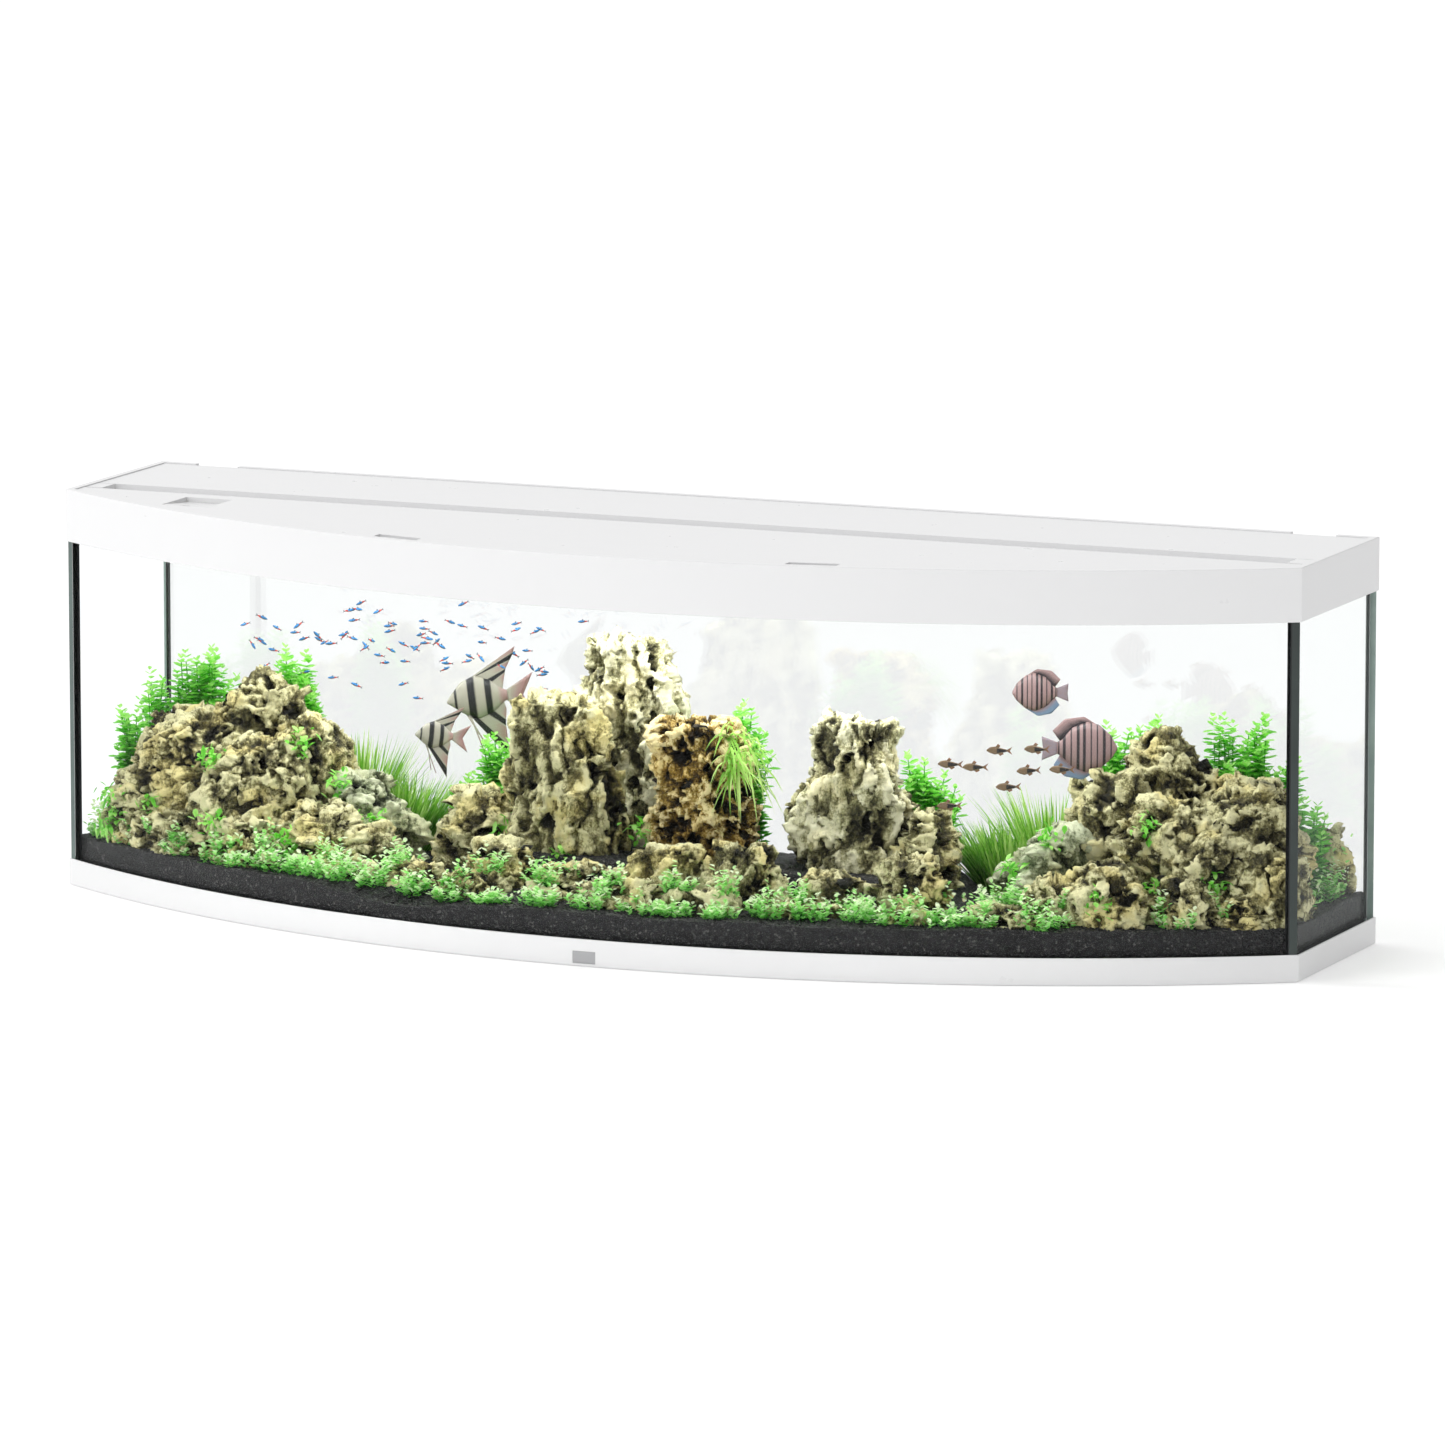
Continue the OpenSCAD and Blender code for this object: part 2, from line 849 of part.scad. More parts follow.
module rock_left_flank() {
    color("darkkhaki")
        stone([-553, -430, -55, 70], 212, 4, 0.4, 0.5, -0.2);
}

module left_mound_stones() {
    color("darkkhaki") {
        stone([-938, -862, -6, 38], 184, 5);
        stone([-622, -558, 18, 92], 265, 6);
        stone([-578, -477, -140, -70], 166, 7);
        stone([-703, -600, -140, -70], 150, 8);
        stone([-806, -726, -98, -68], 126, 9);
        stone([-388, -283, -215, -160], 115, 10);
    }
}

module rock_right_apex() {
    color("darkkhaki")
        stone_mirrored([659, 812, 78, 172], 340, 1, 0.25, 0.5);
}

module rock_right_round() {
    color("darkkhaki")
        stone_mirrored([816, 945, 82, 188], 281, 2, 0.65, 0.7, 0.1);
}

module rock_right_overhang() {
    color("darkkhaki")
        stone_mirrored([668, 935, 5, 76], 227, 3, 0.6, 0.65);
}

module rock_right_flank() {
    color("darkkhaki")
        stone_mirrored([537, 660, -55, 70], 212, 4, 0.4, 0.5, -0.2);
}

module right_mound_stones() {
    color("darkkhaki") {
        stone_mirrored([938, 978, -10, 45], 184, 5);
        stone_mirrored([607, 656, 74, 116], 265, 6);
        stone_mirrored([674, 775, -114, -62], 166, 7);
        stone_mirrored([779, 878, -64, 0], 150, 8);
        stone_mirrored([882, 932, -30, 2], 126, 9);
        stone_mirrored([535, 640, -168, -118], 115, 10);
        stone([905, 978, 246, 292], 185, 11, 0.4);
        stone([959, 981, 52, 100], 170, 12, 0.4);
    }
}

module rock_centre_tall() {
    color("khaki")
        stone([-174, -8, 14, 104], 450, 13, 0.62, 0.75, -0.06);
}

module rock_centre_pillar() {
    color("khaki")
        stone([-242, -62, -92, 5], 363, 14, 0.62, 0.5, -0.15);
}

module rock_centre_orange() {
    color("peru")
        stone([-15, 145, -82, 8], 335, 15, 0.7, 0.7, -0.05);
}

module rock_centre_crag() {
    color("khaki")
        stone([195, 376, -75, 45], 356, 16, 0.6, 0.5, 0.12);
}

module rock_centre_low() {
    color("darkkhaki") {
        stone([-369, -250, -50, 52], 204, 17);
        stone([382, 446, -50, 52], 216, 18);
    }
}

module terrace_stones() {
    color("darkkhaki") {
        stone([-263, -160, -172, -128], 155, 19, 0.7);
        stone([-150, -22, -170, -128], 128, 20, 0.8);
        stone([-8, 112, -178, -128], 166, 21, 0.8);
        stone([118, 240, -178, -128], 174, 22, 0.7);
        stone([255, 371, -158, -128], 140, 23, 0.8);
        stone([384, 490, -158, -128], 178, 24, 0.6);
    }
}

// Stem plants behind the mounds, and bushes round the middle rocks
module leafy_plants() {
    color("limegreen") {
        stone([-945, -800, 160, 235], 338, 31, 0.7);
        stone([-750, -650, 120, 190], 333, 32, 0.6);
        stone([734, 900, 195, 255], 338, 31, 0.7);
        stone([634, 714, 178, 225], 333, 32, 0.6);
        stone([-374, -260, 62, 130], 254, 33, 0.6);
        stone([0, 150, 20, 84], 332, 34, 0.7);
        stone([312, 407, 62, 130], 266, 35, 0.6);
    }
}

// Tufts stand in a row along the curved front
carpet_step = 76;
carpet_r = 12;
carpet_h = 22;
function carpet_y(k) = arc_y(abs(k) * carpet_step, inner_inset) + carpet_r + 6;

// Grass tufts beside the mounds, and low carpet plants along the front
module grass_and_carpet() {
    color("yellowgreen") {
        stone([-590, -425, 100, 165], 281, 36, 0.9, 0.8);
        stone([444, 589, 100, 165], 281, 37, 0.9, 0.8);
        for (k = [-11:11])
            if (abs(k) != 4 && k != 5)
                translate([k * carpet_step, carpet_y(k), gravel_front + 0.5])
                    cylinder(r1 = carpet_r, r2 = carpet_r * 0.6, h = carpet_h, $fn = round_fn);
    }
}

// ---- Nodes ----

base_front_rail();
base_left_rail();
base_right_rail();
base_rear_rail();
base_panel();
foam_mat();
badge_plate();
bottom_glass();
front_glass();
rear_glass();
left_glass();
right_glass();
silicone_seams();
floor_bead();
front_brace();
rear_brace();
cross_braces();
hood_front_apron();
hood_left_rail();
hood_right_rail();
hood_rear_rail();
hood_corner_blocks();
hood_screws();
hinge_rail();
hinge_saddles();
hinge_end_blocks();
hinge_pins();
finger_cups();
lid_bumpers();
cable_grommets();
light_straps();
light_clips();
light_housings();
light_boards();
light_diffusers();
light_end_caps();
front_lid();
hatch_pin();
hatch_spring();
feeding_flap();
rear_cover();
gravel_bed();
rock_left_apex();
rock_left_round();
rock_left_overhang();
rock_left_flank();
left_mound_stones();
rock_right_apex();
rock_right_round();
rock_right_overhang();
rock_right_flank();
right_mound_stones();
rock_centre_tall();
rock_centre_pillar();
rock_centre_orange();
rock_centre_crag();
rock_centre_low();
terrace_stones();
leafy_plants();
grass_and_carpet();
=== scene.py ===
"""Bow-front aquarium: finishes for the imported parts, and detailed stones, gravel, plants and fish inside."""
import json
import math
import random

import bmesh
import bpy
import numpy as np
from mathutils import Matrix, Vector, noise
from mathutils.bvhtree import BVHTree


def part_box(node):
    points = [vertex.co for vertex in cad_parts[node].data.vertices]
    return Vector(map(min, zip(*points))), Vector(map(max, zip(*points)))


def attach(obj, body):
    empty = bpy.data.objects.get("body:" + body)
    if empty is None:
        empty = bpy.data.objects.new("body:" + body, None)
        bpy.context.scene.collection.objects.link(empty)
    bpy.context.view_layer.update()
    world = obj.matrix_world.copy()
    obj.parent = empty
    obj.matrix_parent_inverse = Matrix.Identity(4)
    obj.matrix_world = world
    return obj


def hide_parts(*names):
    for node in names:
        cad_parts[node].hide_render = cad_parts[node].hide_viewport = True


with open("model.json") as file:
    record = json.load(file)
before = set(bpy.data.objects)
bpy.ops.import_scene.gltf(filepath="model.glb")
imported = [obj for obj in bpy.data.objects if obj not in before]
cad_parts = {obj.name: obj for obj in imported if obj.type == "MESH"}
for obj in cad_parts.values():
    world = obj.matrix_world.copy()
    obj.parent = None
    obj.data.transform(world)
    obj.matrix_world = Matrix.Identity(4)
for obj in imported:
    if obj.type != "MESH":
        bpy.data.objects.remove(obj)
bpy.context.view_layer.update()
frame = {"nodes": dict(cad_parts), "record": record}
nodes = frame["nodes"]
scene = bpy.context.scene


# ---- Meshes ----

def make_object(name, points, faces, material, smooth=True):
    mesh = bpy.data.meshes.new(name)
    mesh.from_pydata(np.asarray(points).tolist(), [], [list(f) for f in faces])
    mesh.update()
    if smooth:
        mesh.shade_smooth()
    obj = bpy.data.objects.new(name, mesh)
    scene.collection.objects.link(obj)
    mesh.materials.append(material)
    return obj


def set_attribute(obj, name, values):
    layer = obj.data.attributes.new(name, "FLOAT", "POINT")
    layer.data.foreach_set("value", np.asarray(values, np.float32))


def joined(parts):
    """Several (points, faces, values) as one."""
    points, faces, values, start = [], [], [], 0
    for part_points, part_faces, part_values in parts:
        points.append(part_points)
        values.append(part_values)
        faces.extend([[i + start for i in f] for f in part_faces])
        start += len(part_points)
    return np.concatenate(points), faces, np.concatenate(values)


def sample(function, points):
    return np.array([function(Vector(p)) for p in points.tolist()])


def smoothstep(low, high, x):
    t = np.clip((x - low) / (high - low), 0, 1)
    return t * t * (3 - 2 * t)


# ---- Materials ----

class Nodes:
    """Short calls for one material's node tree."""

    def __init__(self, name):
        self.material = bpy.data.materials.new(name)
        self.material.use_nodes = True
        self.tree = self.material.node_tree
        self.tree.nodes.clear()
        self.out = self.add("ShaderNodeOutputMaterial")

    def add(self, kind, **values):
        node = self.tree.nodes.new(kind)
        for key, value in values.items():
            if key in node.inputs:
                node.inputs[key].default_value = value
            else:
                setattr(node, key, value)
        return node

    def link(self, source, target):
        self.tree.links.new(source, target)

    def position(self):
        return self.add("ShaderNodeTexCoord").outputs["Object"]

    def noise(self, scale, detail=4.0, roughness=0.55, vector=None):
        node = self.add("ShaderNodeTexNoise", Scale=scale, Detail=detail, Roughness=roughness)
        self.link(vector or self.position(), node.inputs["Vector"])
        return node.outputs["Fac"]

    def voronoi(self, scale, vector=None, feature="F1"):
        node = self.add("ShaderNodeTexVoronoi", Scale=scale, feature=feature)
        self.link(vector or self.position(), node.inputs["Vector"])
        return node.outputs["Distance"]

    def attribute(self, name):
        return self.add("ShaderNodeAttribute", attribute_name=name).outputs["Fac"]

    def math(self, operation, a, b):
        node = self.add("ShaderNodeMath", operation=operation)
        for socket, value in zip(node.inputs, (a, b)):
            if isinstance(value, (int, float)):
                socket.default_value = value
            else:
                self.link(value, socket)
        return node.outputs[0]

    def ramp(self, factor, stops):
        node = self.add("ShaderNodeValToRGB")
        while len(node.color_ramp.elements) < len(stops):
            node.color_ramp.elements.new(1.0)
        for element, (place, colour) in zip(node.color_ramp.elements, stops):
            element.position = place
            element.color = (*colour, 1.0)
        self.link(factor, node.inputs["Fac"])
        return node.outputs["Color"]

    def span(self, factor, low, high):
        node = self.add("ShaderNodeMapRange")
        node.inputs["To Min"].default_value = low
        node.inputs["To Max"].default_value = high
        self.link(factor, node.inputs["Value"])
        return node.outputs["Result"]

    def mix(self, factor, a, b):
        node = self.add("ShaderNodeMix", data_type="RGBA")
        self.link(factor, node.inputs["Factor"])
        for socket, value in ((node.inputs[6], a), (node.inputs[7], b)):
            if isinstance(value, tuple):
                socket.default_value = (*value, 1.0)
            else:
                self.link(value, socket)
        return node.outputs[2]

    def bump(self, height, strength, distance):
        node = self.add("ShaderNodeBump", Strength=strength, Distance=distance)
        self.link(height, node.inputs["Height"])
        return node.outputs["Normal"]

    def shade(self, colour, roughness, normal=None, **values):
        node = self.add("ShaderNodeBsdfPrincipled", **values)
        self.link(colour, node.inputs["Base Color"])
        self.link(roughness, node.inputs["Roughness"])
        if normal is not None:
            self.link(normal, node.inputs["Normal"])
        self.link(node.outputs[0], self.out.inputs["Surface"])
        return node


def grey(value, tint=(1.0, 1.0, 1.0)):
    return tuple(value * t for t in tint)


def plain_finish(name, colour, vary, roughness, grain, bump, **values):
    """A moulded, rolled or drawn surface: its colour and gloss drift slightly, with a fine grain."""
    n = Nodes(name)
    drift = n.noise(2.5, detail=1.0)
    tone = n.ramp(drift, [(0.25, tuple(c * (1 - vary) for c in colour)), (0.75, colour)])
    fine = n.noise(grain, detail=2.0)
    n.shade(tone, n.span(n.noise(31.0), *roughness), n.bump(fine, bump, 0.0002), **values)
    return n.material


def glass_finish(name, edge_axis, head_on, grazing, clearness=0.997, rim_painted_light=1.0):
    """Clear pane seen straight through, with teal where the glass is seen along its width at an edge."""
    n = Nodes(name)
    facing = n.add("ShaderNodeLayerWeight", Blend=0.5).outputs["Facing"]
    mirror = n.math("ADD", n.math("MULTIPLY", n.math("POWER", facing, 5.0), grazing), head_on)
    smear = n.span(n.noise(5.0), 0.0, 0.012)
    clear = n.add("ShaderNodeBsdfTransparent", Color=(clearness - 0.003, clearness, clearness, 1))
    gloss = n.add("ShaderNodeBsdfGlossy", Color=(0.95, 1.0, 0.98, 1))
    n.link(smear, gloss.inputs["Roughness"])
    pane = n.add("ShaderNodeMixShader")
    n.link(mirror, pane.inputs[0])
    n.link(clear.outputs[0], pane.inputs[1])
    n.link(gloss.outputs[0], pane.inputs[2])
    normal = n.add("ShaderNodeSeparateXYZ")
    n.link(n.add("ShaderNodeNewGeometry").outputs["True Normal"], normal.inputs[0])
    parts = [n.math("ABSOLUTE", normal.outputs[axis], 0.0) for axis in edge_axis]
    along = parts[0] if len(parts) == 1 else n.math("MAXIMUM", *parts)
    is_edge = n.math("GREATER_THAN", along, 0.8)
    # The front rim teal is scaled down for a pane on the shaded side: painted shade on its edges.
    front_tint = n.ramp(n.noise(12.0), [(0.3, grey(rim_painted_light, (0.055, 0.085, 0.078))),
                                        (0.7, grey(rim_painted_light, (0.09, 0.135, 0.12)))])
    rear_tint = n.ramp(n.noise(12.0), [(0.3, (0.24, 0.33, 0.30)), (0.7, (0.32, 0.42, 0.38))])
    place = n.add("ShaderNodeSeparateXYZ")
    n.link(n.position(), place.inputs[0])
    is_rear = n.math("GREATER_THAN", place.outputs["Y"], 0.3)
    tint = n.mix(is_rear, front_tint, rear_tint)
    rim = n.add("ShaderNodeBsdfPrincipled", Roughness=0.12)
    n.link(tint, rim.inputs["Base Color"])
    both = n.add("ShaderNodeMixShader")
    n.link(is_edge, both.inputs[0])
    n.link(pane.outputs[0], both.inputs[1])
    n.link(rim.outputs[0], both.inputs[2])
    n.link(both.outputs[0], n.out.inputs["Surface"])
    return n.material


def rock_finish(name, dark, deep, mid, light, pale, warm=0.5):
    """Weathered stone: ribs go pale, partly wear and partly painted highlight; scoops stay brown and pits go dark,
    partly the stone's own dark and partly painted shade; with golden patches and fine grit.
    """
    n = Nodes(name)
    upright = n.add("ShaderNodeVectorMath", operation="MULTIPLY")
    upright.inputs[1].default_value = (1.0, 1.0, 0.4)
    n.link(n.position(), upright.inputs[0])
    blotch = n.noise(52.0, detail=6.0, roughness=0.75, vector=upright.outputs[0])
    grit = n.noise(230.0, detail=6.0, roughness=0.8)
    mottle = n.math("ADD", n.math("MULTIPLY", blotch, 0.5), n.math("MULTIPLY", grit, 0.5))
    level = n.math("ADD", n.attribute("shade"), n.math("MULTIPLY", n.math("SUBTRACT", mottle, 0.5), 2.9))
    stops = [(0.08, pale), (0.30, light), (0.52, mid), (0.72, deep), (0.92, dark)]
    plain = n.ramp(level, stops)
    golden = n.ramp(level, [(place, (r * 1.06, g * 0.90, b * 0.48)) for place, (r, g, b) in stops])
    patch = n.ramp(n.noise(13.0, detail=3.0), [(0.5, (0, 0, 0)), (0.62, (warm, warm, warm))])
    height = n.math("ADD", n.math("MULTIPLY", n.noise(110.0, detail=6.0), 0.7), n.math("MULTIPLY", grit, 0.3))
    n.shade(n.mix(patch, plain, golden), n.span(grit, 0.75, 0.98), n.bump(height, 1.0, 0.006))
    return n.material


def plant_finish(name, dark, mid, light, tip):
    """Thin leaves: each has its own tone, and light comes through them; for stems and carpet the tone also carries
    painted shade and painted highlight.
    """
    n = Nodes(name)
    tone = n.math("ADD", n.attribute("tone"), n.math("MULTIPLY", n.noise(300.0), 0.15))
    colour = n.ramp(tone, [(0.05, dark), (0.4, mid), (0.75, light), (1.05 / 1.15, tip)])
    front = n.add("ShaderNodeBsdfPrincipled", **{"Specular IOR Level": 0.3})
    n.link(colour, front.inputs["Base Color"])
    n.link(n.span(n.noise(90.0), 0.45, 0.65), front.inputs["Roughness"])
    through = n.add("ShaderNodeBsdfTranslucent")
    n.link(colour, through.inputs["Color"])
    both = n.add("ShaderNodeMixShader")
    both.inputs[0].default_value = 0.5
    n.link(front.outputs[0], both.inputs[1])
    n.link(through.outputs[0], both.inputs[2])
    n.link(both.outputs[0], n.out.inputs["Surface"])
    return n.material


WHITE = plain_finish("white_plastic", (0.78, 0.78, 0.785), 0.01, (0.26, 0.31), 700.0, 0.005)
# A darker copy of the same white plastic for the base's front rail: painted shade on the base.
BASE_WHITE_PAINTED_SHADE = plain_finish("white_plastic_base", (0.73, 0.73, 0.735), 0.01, (0.26, 0.31), 700.0, 0.005)
SILICONE = plain_finish("black_silicone", (0.012, 0.013, 0.014), 0.4, (0.25, 0.4), 300.0, 0.2)
BOARD = plain_finish("grey_board", (0.6, 0.6, 0.59), 0.08, (0.6, 0.8), 500.0, 0.3)
SILVER = plain_finish("satin_silver", (0.36, 0.36, 0.37), 0.1, (0.3, 0.42), 1200.0, 0.15, Metallic=0.9)
STEEL = plain_finish("bright_steel", (0.62, 0.62, 0.63), 0.12, (0.15, 0.3), 1500.0, 0.1, Metallic=1.0)
RUBBER = plain_finish("dark_rubber", (0.03, 0.03, 0.032), 0.3, (0.6, 0.75), 700.0, 0.3)
ALUMINIUM = plain_finish("satin_aluminium", (0.72, 0.72, 0.73), 0.06, (0.3, 0.4), 1100.0, 0.15, Metallic=0.9)
LED_BOARD = plain_finish("white_circuit_board", (0.8, 0.79, 0.72), 0.1, (0.4, 0.55), 250.0, 0.2)
OPAL = plain_finish("opal_cover", (0.93, 0.93, 0.91), 0.04, (0.35, 0.5), 400.0, 0.1,
                    **{"Emission Color": (1.0, 0.98, 0.93, 1), "Emission Strength": 0.6})
FOAM = plain_finish("closed_cell_foam", (0.06, 0.06, 0.065), 0.4, (0.85, 0.98), 600.0, 0.9)

FINISH_OF_SLOT = {
    "trim_white": WHITE, "silicone_black": SILICONE, "board_grey": BOARD, "plate_silver": SILVER,
    "steel_bright": STEEL, "rubber_dark": RUBBER, "light_aluminium": ALUMINIUM, "light_board": LED_BOARD,
    "light_opal": OPAL, "foam_grey": FOAM,
}
SIDE_GLASS = glass_finish("glass_side", (1, 2), 0.004, 0.2)
FLAT_GLASS = glass_finish("glass_flat", (0, 1), 0.02, 0.5)
GLASS_OF_NODE = {
    "front_glass": glass_finish("glass_front", (0, 2), 0.002, 0.3),
    "rear_glass": glass_finish("glass_rear", (0, 2), 0.07, 0.25, 0.955), "left_glass": SIDE_GLASS,
    # The right pane is the same glass with its rim teal painted darker: painted shade on the side away from the key
    # light.
    "right_glass": glass_finish("glass_right", (1, 2), 0.004, 0.2, rim_painted_light=0.3), "bottom_glass": FLAT_GLASS, "front_brace": FLAT_GLASS,
    "rear_brace": FLAT_GLASS, "cross_braces": FLAT_GLASS,
}
for part in frame["record"]["subparts"]:
    finish = GLASS_OF_NODE.get(part["node"]) or FINISH_OF_SLOT.get(part["material_slot"])
    # The base's front rail takes the darker copy of the white plastic, as painted shade.
    if finish is WHITE and part["node"] == "base_front_rail":
        finish = BASE_WHITE_PAINTED_SHADE
    if finish:
        obj = nodes[part["node"]]
        for material_slot in obj.material_slots:
            material_slot.material = finish

ROCK = rock_finish("dragon_stone", (0.006, 0.006, 0.003), (0.030, 0.027, 0.010), (0.09, 0.081, 0.031),
                   (0.27, 0.25, 0.105), (0.72, 0.69, 0.40))
ROCK_PALE = rock_finish("pale_dragon_stone", (0.009, 0.009, 0.004), (0.060, 0.056, 0.024), (0.165, 0.155, 0.072),
                        (0.49, 0.475, 0.255), (0.90, 0.88, 0.62), warm=0.25)
ROCK_GREY = rock_finish("grey_dragon_stone", (0.006, 0.006, 0.004), (0.028, 0.034, 0.018),
                        (0.085, 0.105, 0.052), (0.25, 0.285, 0.155), (0.62, 0.66, 0.45), warm=0.2)
ROCK_ORANGE = rock_finish("orange_dragon_stone", (0.004, 0.003, 0.001), (0.022, 0.012, 0.002),
                          (0.095, 0.056, 0.008), (0.38, 0.25, 0.045), (0.90, 0.78, 0.42))
# For the stem plants and the carpet, the dark end of each ramp serves partly as painted shade and the pale tip colour
# partly as painted highlight.
LEAF = plant_finish("leafy_green", (0.03, 0.20, 0.015), (0.12, 0.56, 0.04), (0.28, 0.80, 0.10), (0.52, 0.93, 0.26))
GRASS = plant_finish("grass_green", (0.04, 0.15, 0.015), (0.17, 0.46, 0.045), (0.38, 0.70, 0.12), (0.62, 0.88, 0.28))
CARPET = plant_finish("carpet_green", (0.02, 0.13, 0.02), (0.26, 0.74, 0.14), (0.58, 0.94, 0.38), (0.92, 1.0, 0.74))


# ---- The tank's plan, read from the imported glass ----

front_low, front_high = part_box("front_glass")
rear_low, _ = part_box("rear_glass")
left_low, left_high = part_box("left_glass")
bed_low, bed_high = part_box("gravel_bed")
rim_low, rim_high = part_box("base_front_rail")
HALF_W = rim_high.x
BOW = rim_high.y - rim_low.y
ARC_R = 1.816667
ARC_Y = rim_low.y + ARC_R
INNER = 0.0134
GRAVEL_X = HALF_W - INNER
GRAVEL_REAR = rear_low.y - 0.0004


def front_at(x, inset=INNER):
    return ARC_Y - math.sqrt((ARC_R - inset) ** 2 - x * x)


def gravel_height(x, y):
    """The bed's own line, sunk a little between the mounds, with a raised terrace in the middle."""
    line = np.interp(y, (-0.315, 0.0, 0.315), (0.080, 0.075, 0.060))
    side = smoothstep(0.75, 0.98, abs(x)) * smoothstep(0.0, 0.3, y) * 0.018
    sunk = smoothstep(0.08, 0.3, y) * math.exp(-(((x + 0.42) / 0.12) ** 2)) * 0.012
    wide = smoothstep(-0.26, -0.20, x) * (1 - smoothstep(0.42, 0.48, x))
    deep = smoothstep(-0.128, -0.105, y) * (1 - smoothstep(0.06, 0.15, y))
    dip = smoothstep(-0.215, -0.265, y) * (0.004 + 0.015 * math.exp(-(((x + 0.33) / 0.13) ** 2)))
    wave = 0.004 * noise.noise(Vector((x * 9, y * 9, 3.0))) + 0.0022 * noise.noise(Vector((x * 70, y * 70, 7.0)))
    return float(line + side - sunk - dip + 0.045 * wide * deep + wave)


# ---- Gravel ----

def gravel_finish():
    n = Nodes("black_gravel")
    cell = n.add("ShaderNodeTexVoronoi", Scale=330.0)
    n.link(n.position(), cell.inputs["Vector"])
    lone = n.add("ShaderNodeSeparateColor")
    n.link(cell.outputs["Color"], lone.inputs[0])
    tone = n.ramp(lone.outputs[0], [(0.0, (0.002, 0.002, 0.0025)), (0.7, (0.009, 0.009, 0.010)),
                                    (0.93, (0.03, 0.03, 0.031)), (1.0, (0.11, 0.107, 0.10))])
    n.shade(tone, n.span(n.noise(400.0), 0.45, 0.85), n.bump(cell.outputs["Distance"], 1.0, 0.003))
    return n.material


def build_gravel():
    rng = random.Random(4)
    nx, ny = 420, 120
    floor_z = bed_low.z + 0.0065
    points, faces = [], []
    for i in range(nx + 1):
        x = -GRAVEL_X + 2 * GRAVEL_X * i / nx
        y0 = front_at(x)
        for j in range(ny + 1):
            y = y0 + (GRAVEL_REAR - y0) * j / ny
            edge = min(i, nx - i, j, ny - j) > 0
            lift = rng.uniform(-0.0012, 0.0012) if edge else 0.0
            points.append((x, y, gravel_height(x, y) + lift))
    index = lambda i, j: i * (ny + 1) + j
    for i in range(nx):
        for j in range(ny):
            faces.append((index(i, j), index(i + 1, j), index(i + 1, j + 1), index(i, j + 1)))
    ring = ([index(i, 0) for i in range(nx)] + [index(nx, j) for j in range(ny)]
            + [index(i, ny) for i in range(nx, 0, -1)] + [index(0, j) for j in range(ny, 0, -1)])
    above = ring
    rows = 8
    for k in range(1, rows + 1):
        start = len(points)
        for r in ring:
            x, y, z = points[r]
            points.append((x, y, z + (floor_z - z) * k / rows))
        below = list(range(start, start + len(ring)))
        for a in range(len(ring)):
            b = (a + 1) % len(ring)
            faces.append((above[b], above[a], below[a], below[b]))
        above = below
    faces.append(tuple(above[::-1]))
    bed = make_object("gravel", points, faces, gravel_finish())
    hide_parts("gravel_bed")
    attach(bed, "tank")
    return bed


gravel = build_gravel()


# ---- Stones ----

def solids(node):
    """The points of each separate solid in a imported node."""
    bm = bmesh.new()
    bm.from_mesh(nodes[node].data)
    bmesh.ops.remove_doubles(bm, verts=bm.verts, dist=1e-5)
    left = set(bm.verts)
    found = []
    while left:
        stack = [left.pop()]
        island = []
        while stack:
            v = stack.pop()
            island.append(v.co.copy())
            for e in v.link_edges:
                w = e.other_vert(v)
                if w in left:
                    left.remove(w)
                    stack.append(w)
        found.append(np.array(island))
    bm.free()
    return sorted(found, key=lambda p: tuple(p.mean(0).round(4)))


def remeshed(points, voxel, smooth_steps):
    """The hull of the points as an even mesh with its edges rounded."""
    bm = bmesh.new()
    for p in points:
        bm.verts.new(p)
    bmesh.ops.convex_hull(bm, input=bm.verts)
    mesh = bpy.data.meshes.new("hull")
    bm.to_mesh(mesh)
    bm.free()
    obj = bpy.data.objects.new("hull", mesh)
    scene.collection.objects.link(obj)
    remesh = obj.modifiers.new("even", "REMESH")
    remesh.mode = "VOXEL"
    remesh.voxel_size = voxel
    round_off = obj.modifiers.new("round", "SMOOTH")
    round_off.factor = 0.5
    round_off.iterations = smooth_steps
    bpy.context.view_layer.update()
    result = bpy.data.meshes.new_from_object(obj.evaluated_get(bpy.context.evaluated_depsgraph_get()))
    bpy.data.objects.remove(obj)
    bpy.data.meshes.remove(mesh)
    return result


def vertex_arrays(mesh):
    co = np.empty(len(mesh.vertices) * 3, np.float32)
    mesh.vertices.foreach_get("co", co)
    normals = np.empty(len(mesh.vertices) * 3, np.float32)
    mesh.vertex_normals.foreach_get("vector", normals)
    return co.reshape(-1, 3).astype(float), normals.reshape(-1, 3).astype(float)


def move_vertices(mesh, co):
    mesh.vertices.foreach_set("co", co.astype(np.float32).ravel())
    mesh.update()


def cells(points):
    """For each point: distance to its cell's middle, distance in from the cell's border, and the cell's own number."""
    found = [noise.voronoi(Vector(p)) for p in points.tolist()]
    middle = np.array([d[0] for d, _ in found])
    border = np.array([d[1] - d[0] for d, _ in found])
    own = np.array([noise.cell(c[0] * 13.7) for _, c in found])
    return middle, border, own


def chiselled(points, size, steepness):
    """Height of a broken face: each cell is a plane with its own tilt, so that neighbours meet in steps."""
    heights = []
    for p in (points / size).tolist():
        _, feature = noise.voronoi(Vector(p))
        tilt = noise.noise_vector(feature[0] * 9.3)
        heights.append(tilt.dot(Vector(p) - feature[0]) + 0.5 * noise.noise(feature[0] * 5.1))
    return np.array(heights) * size * steepness


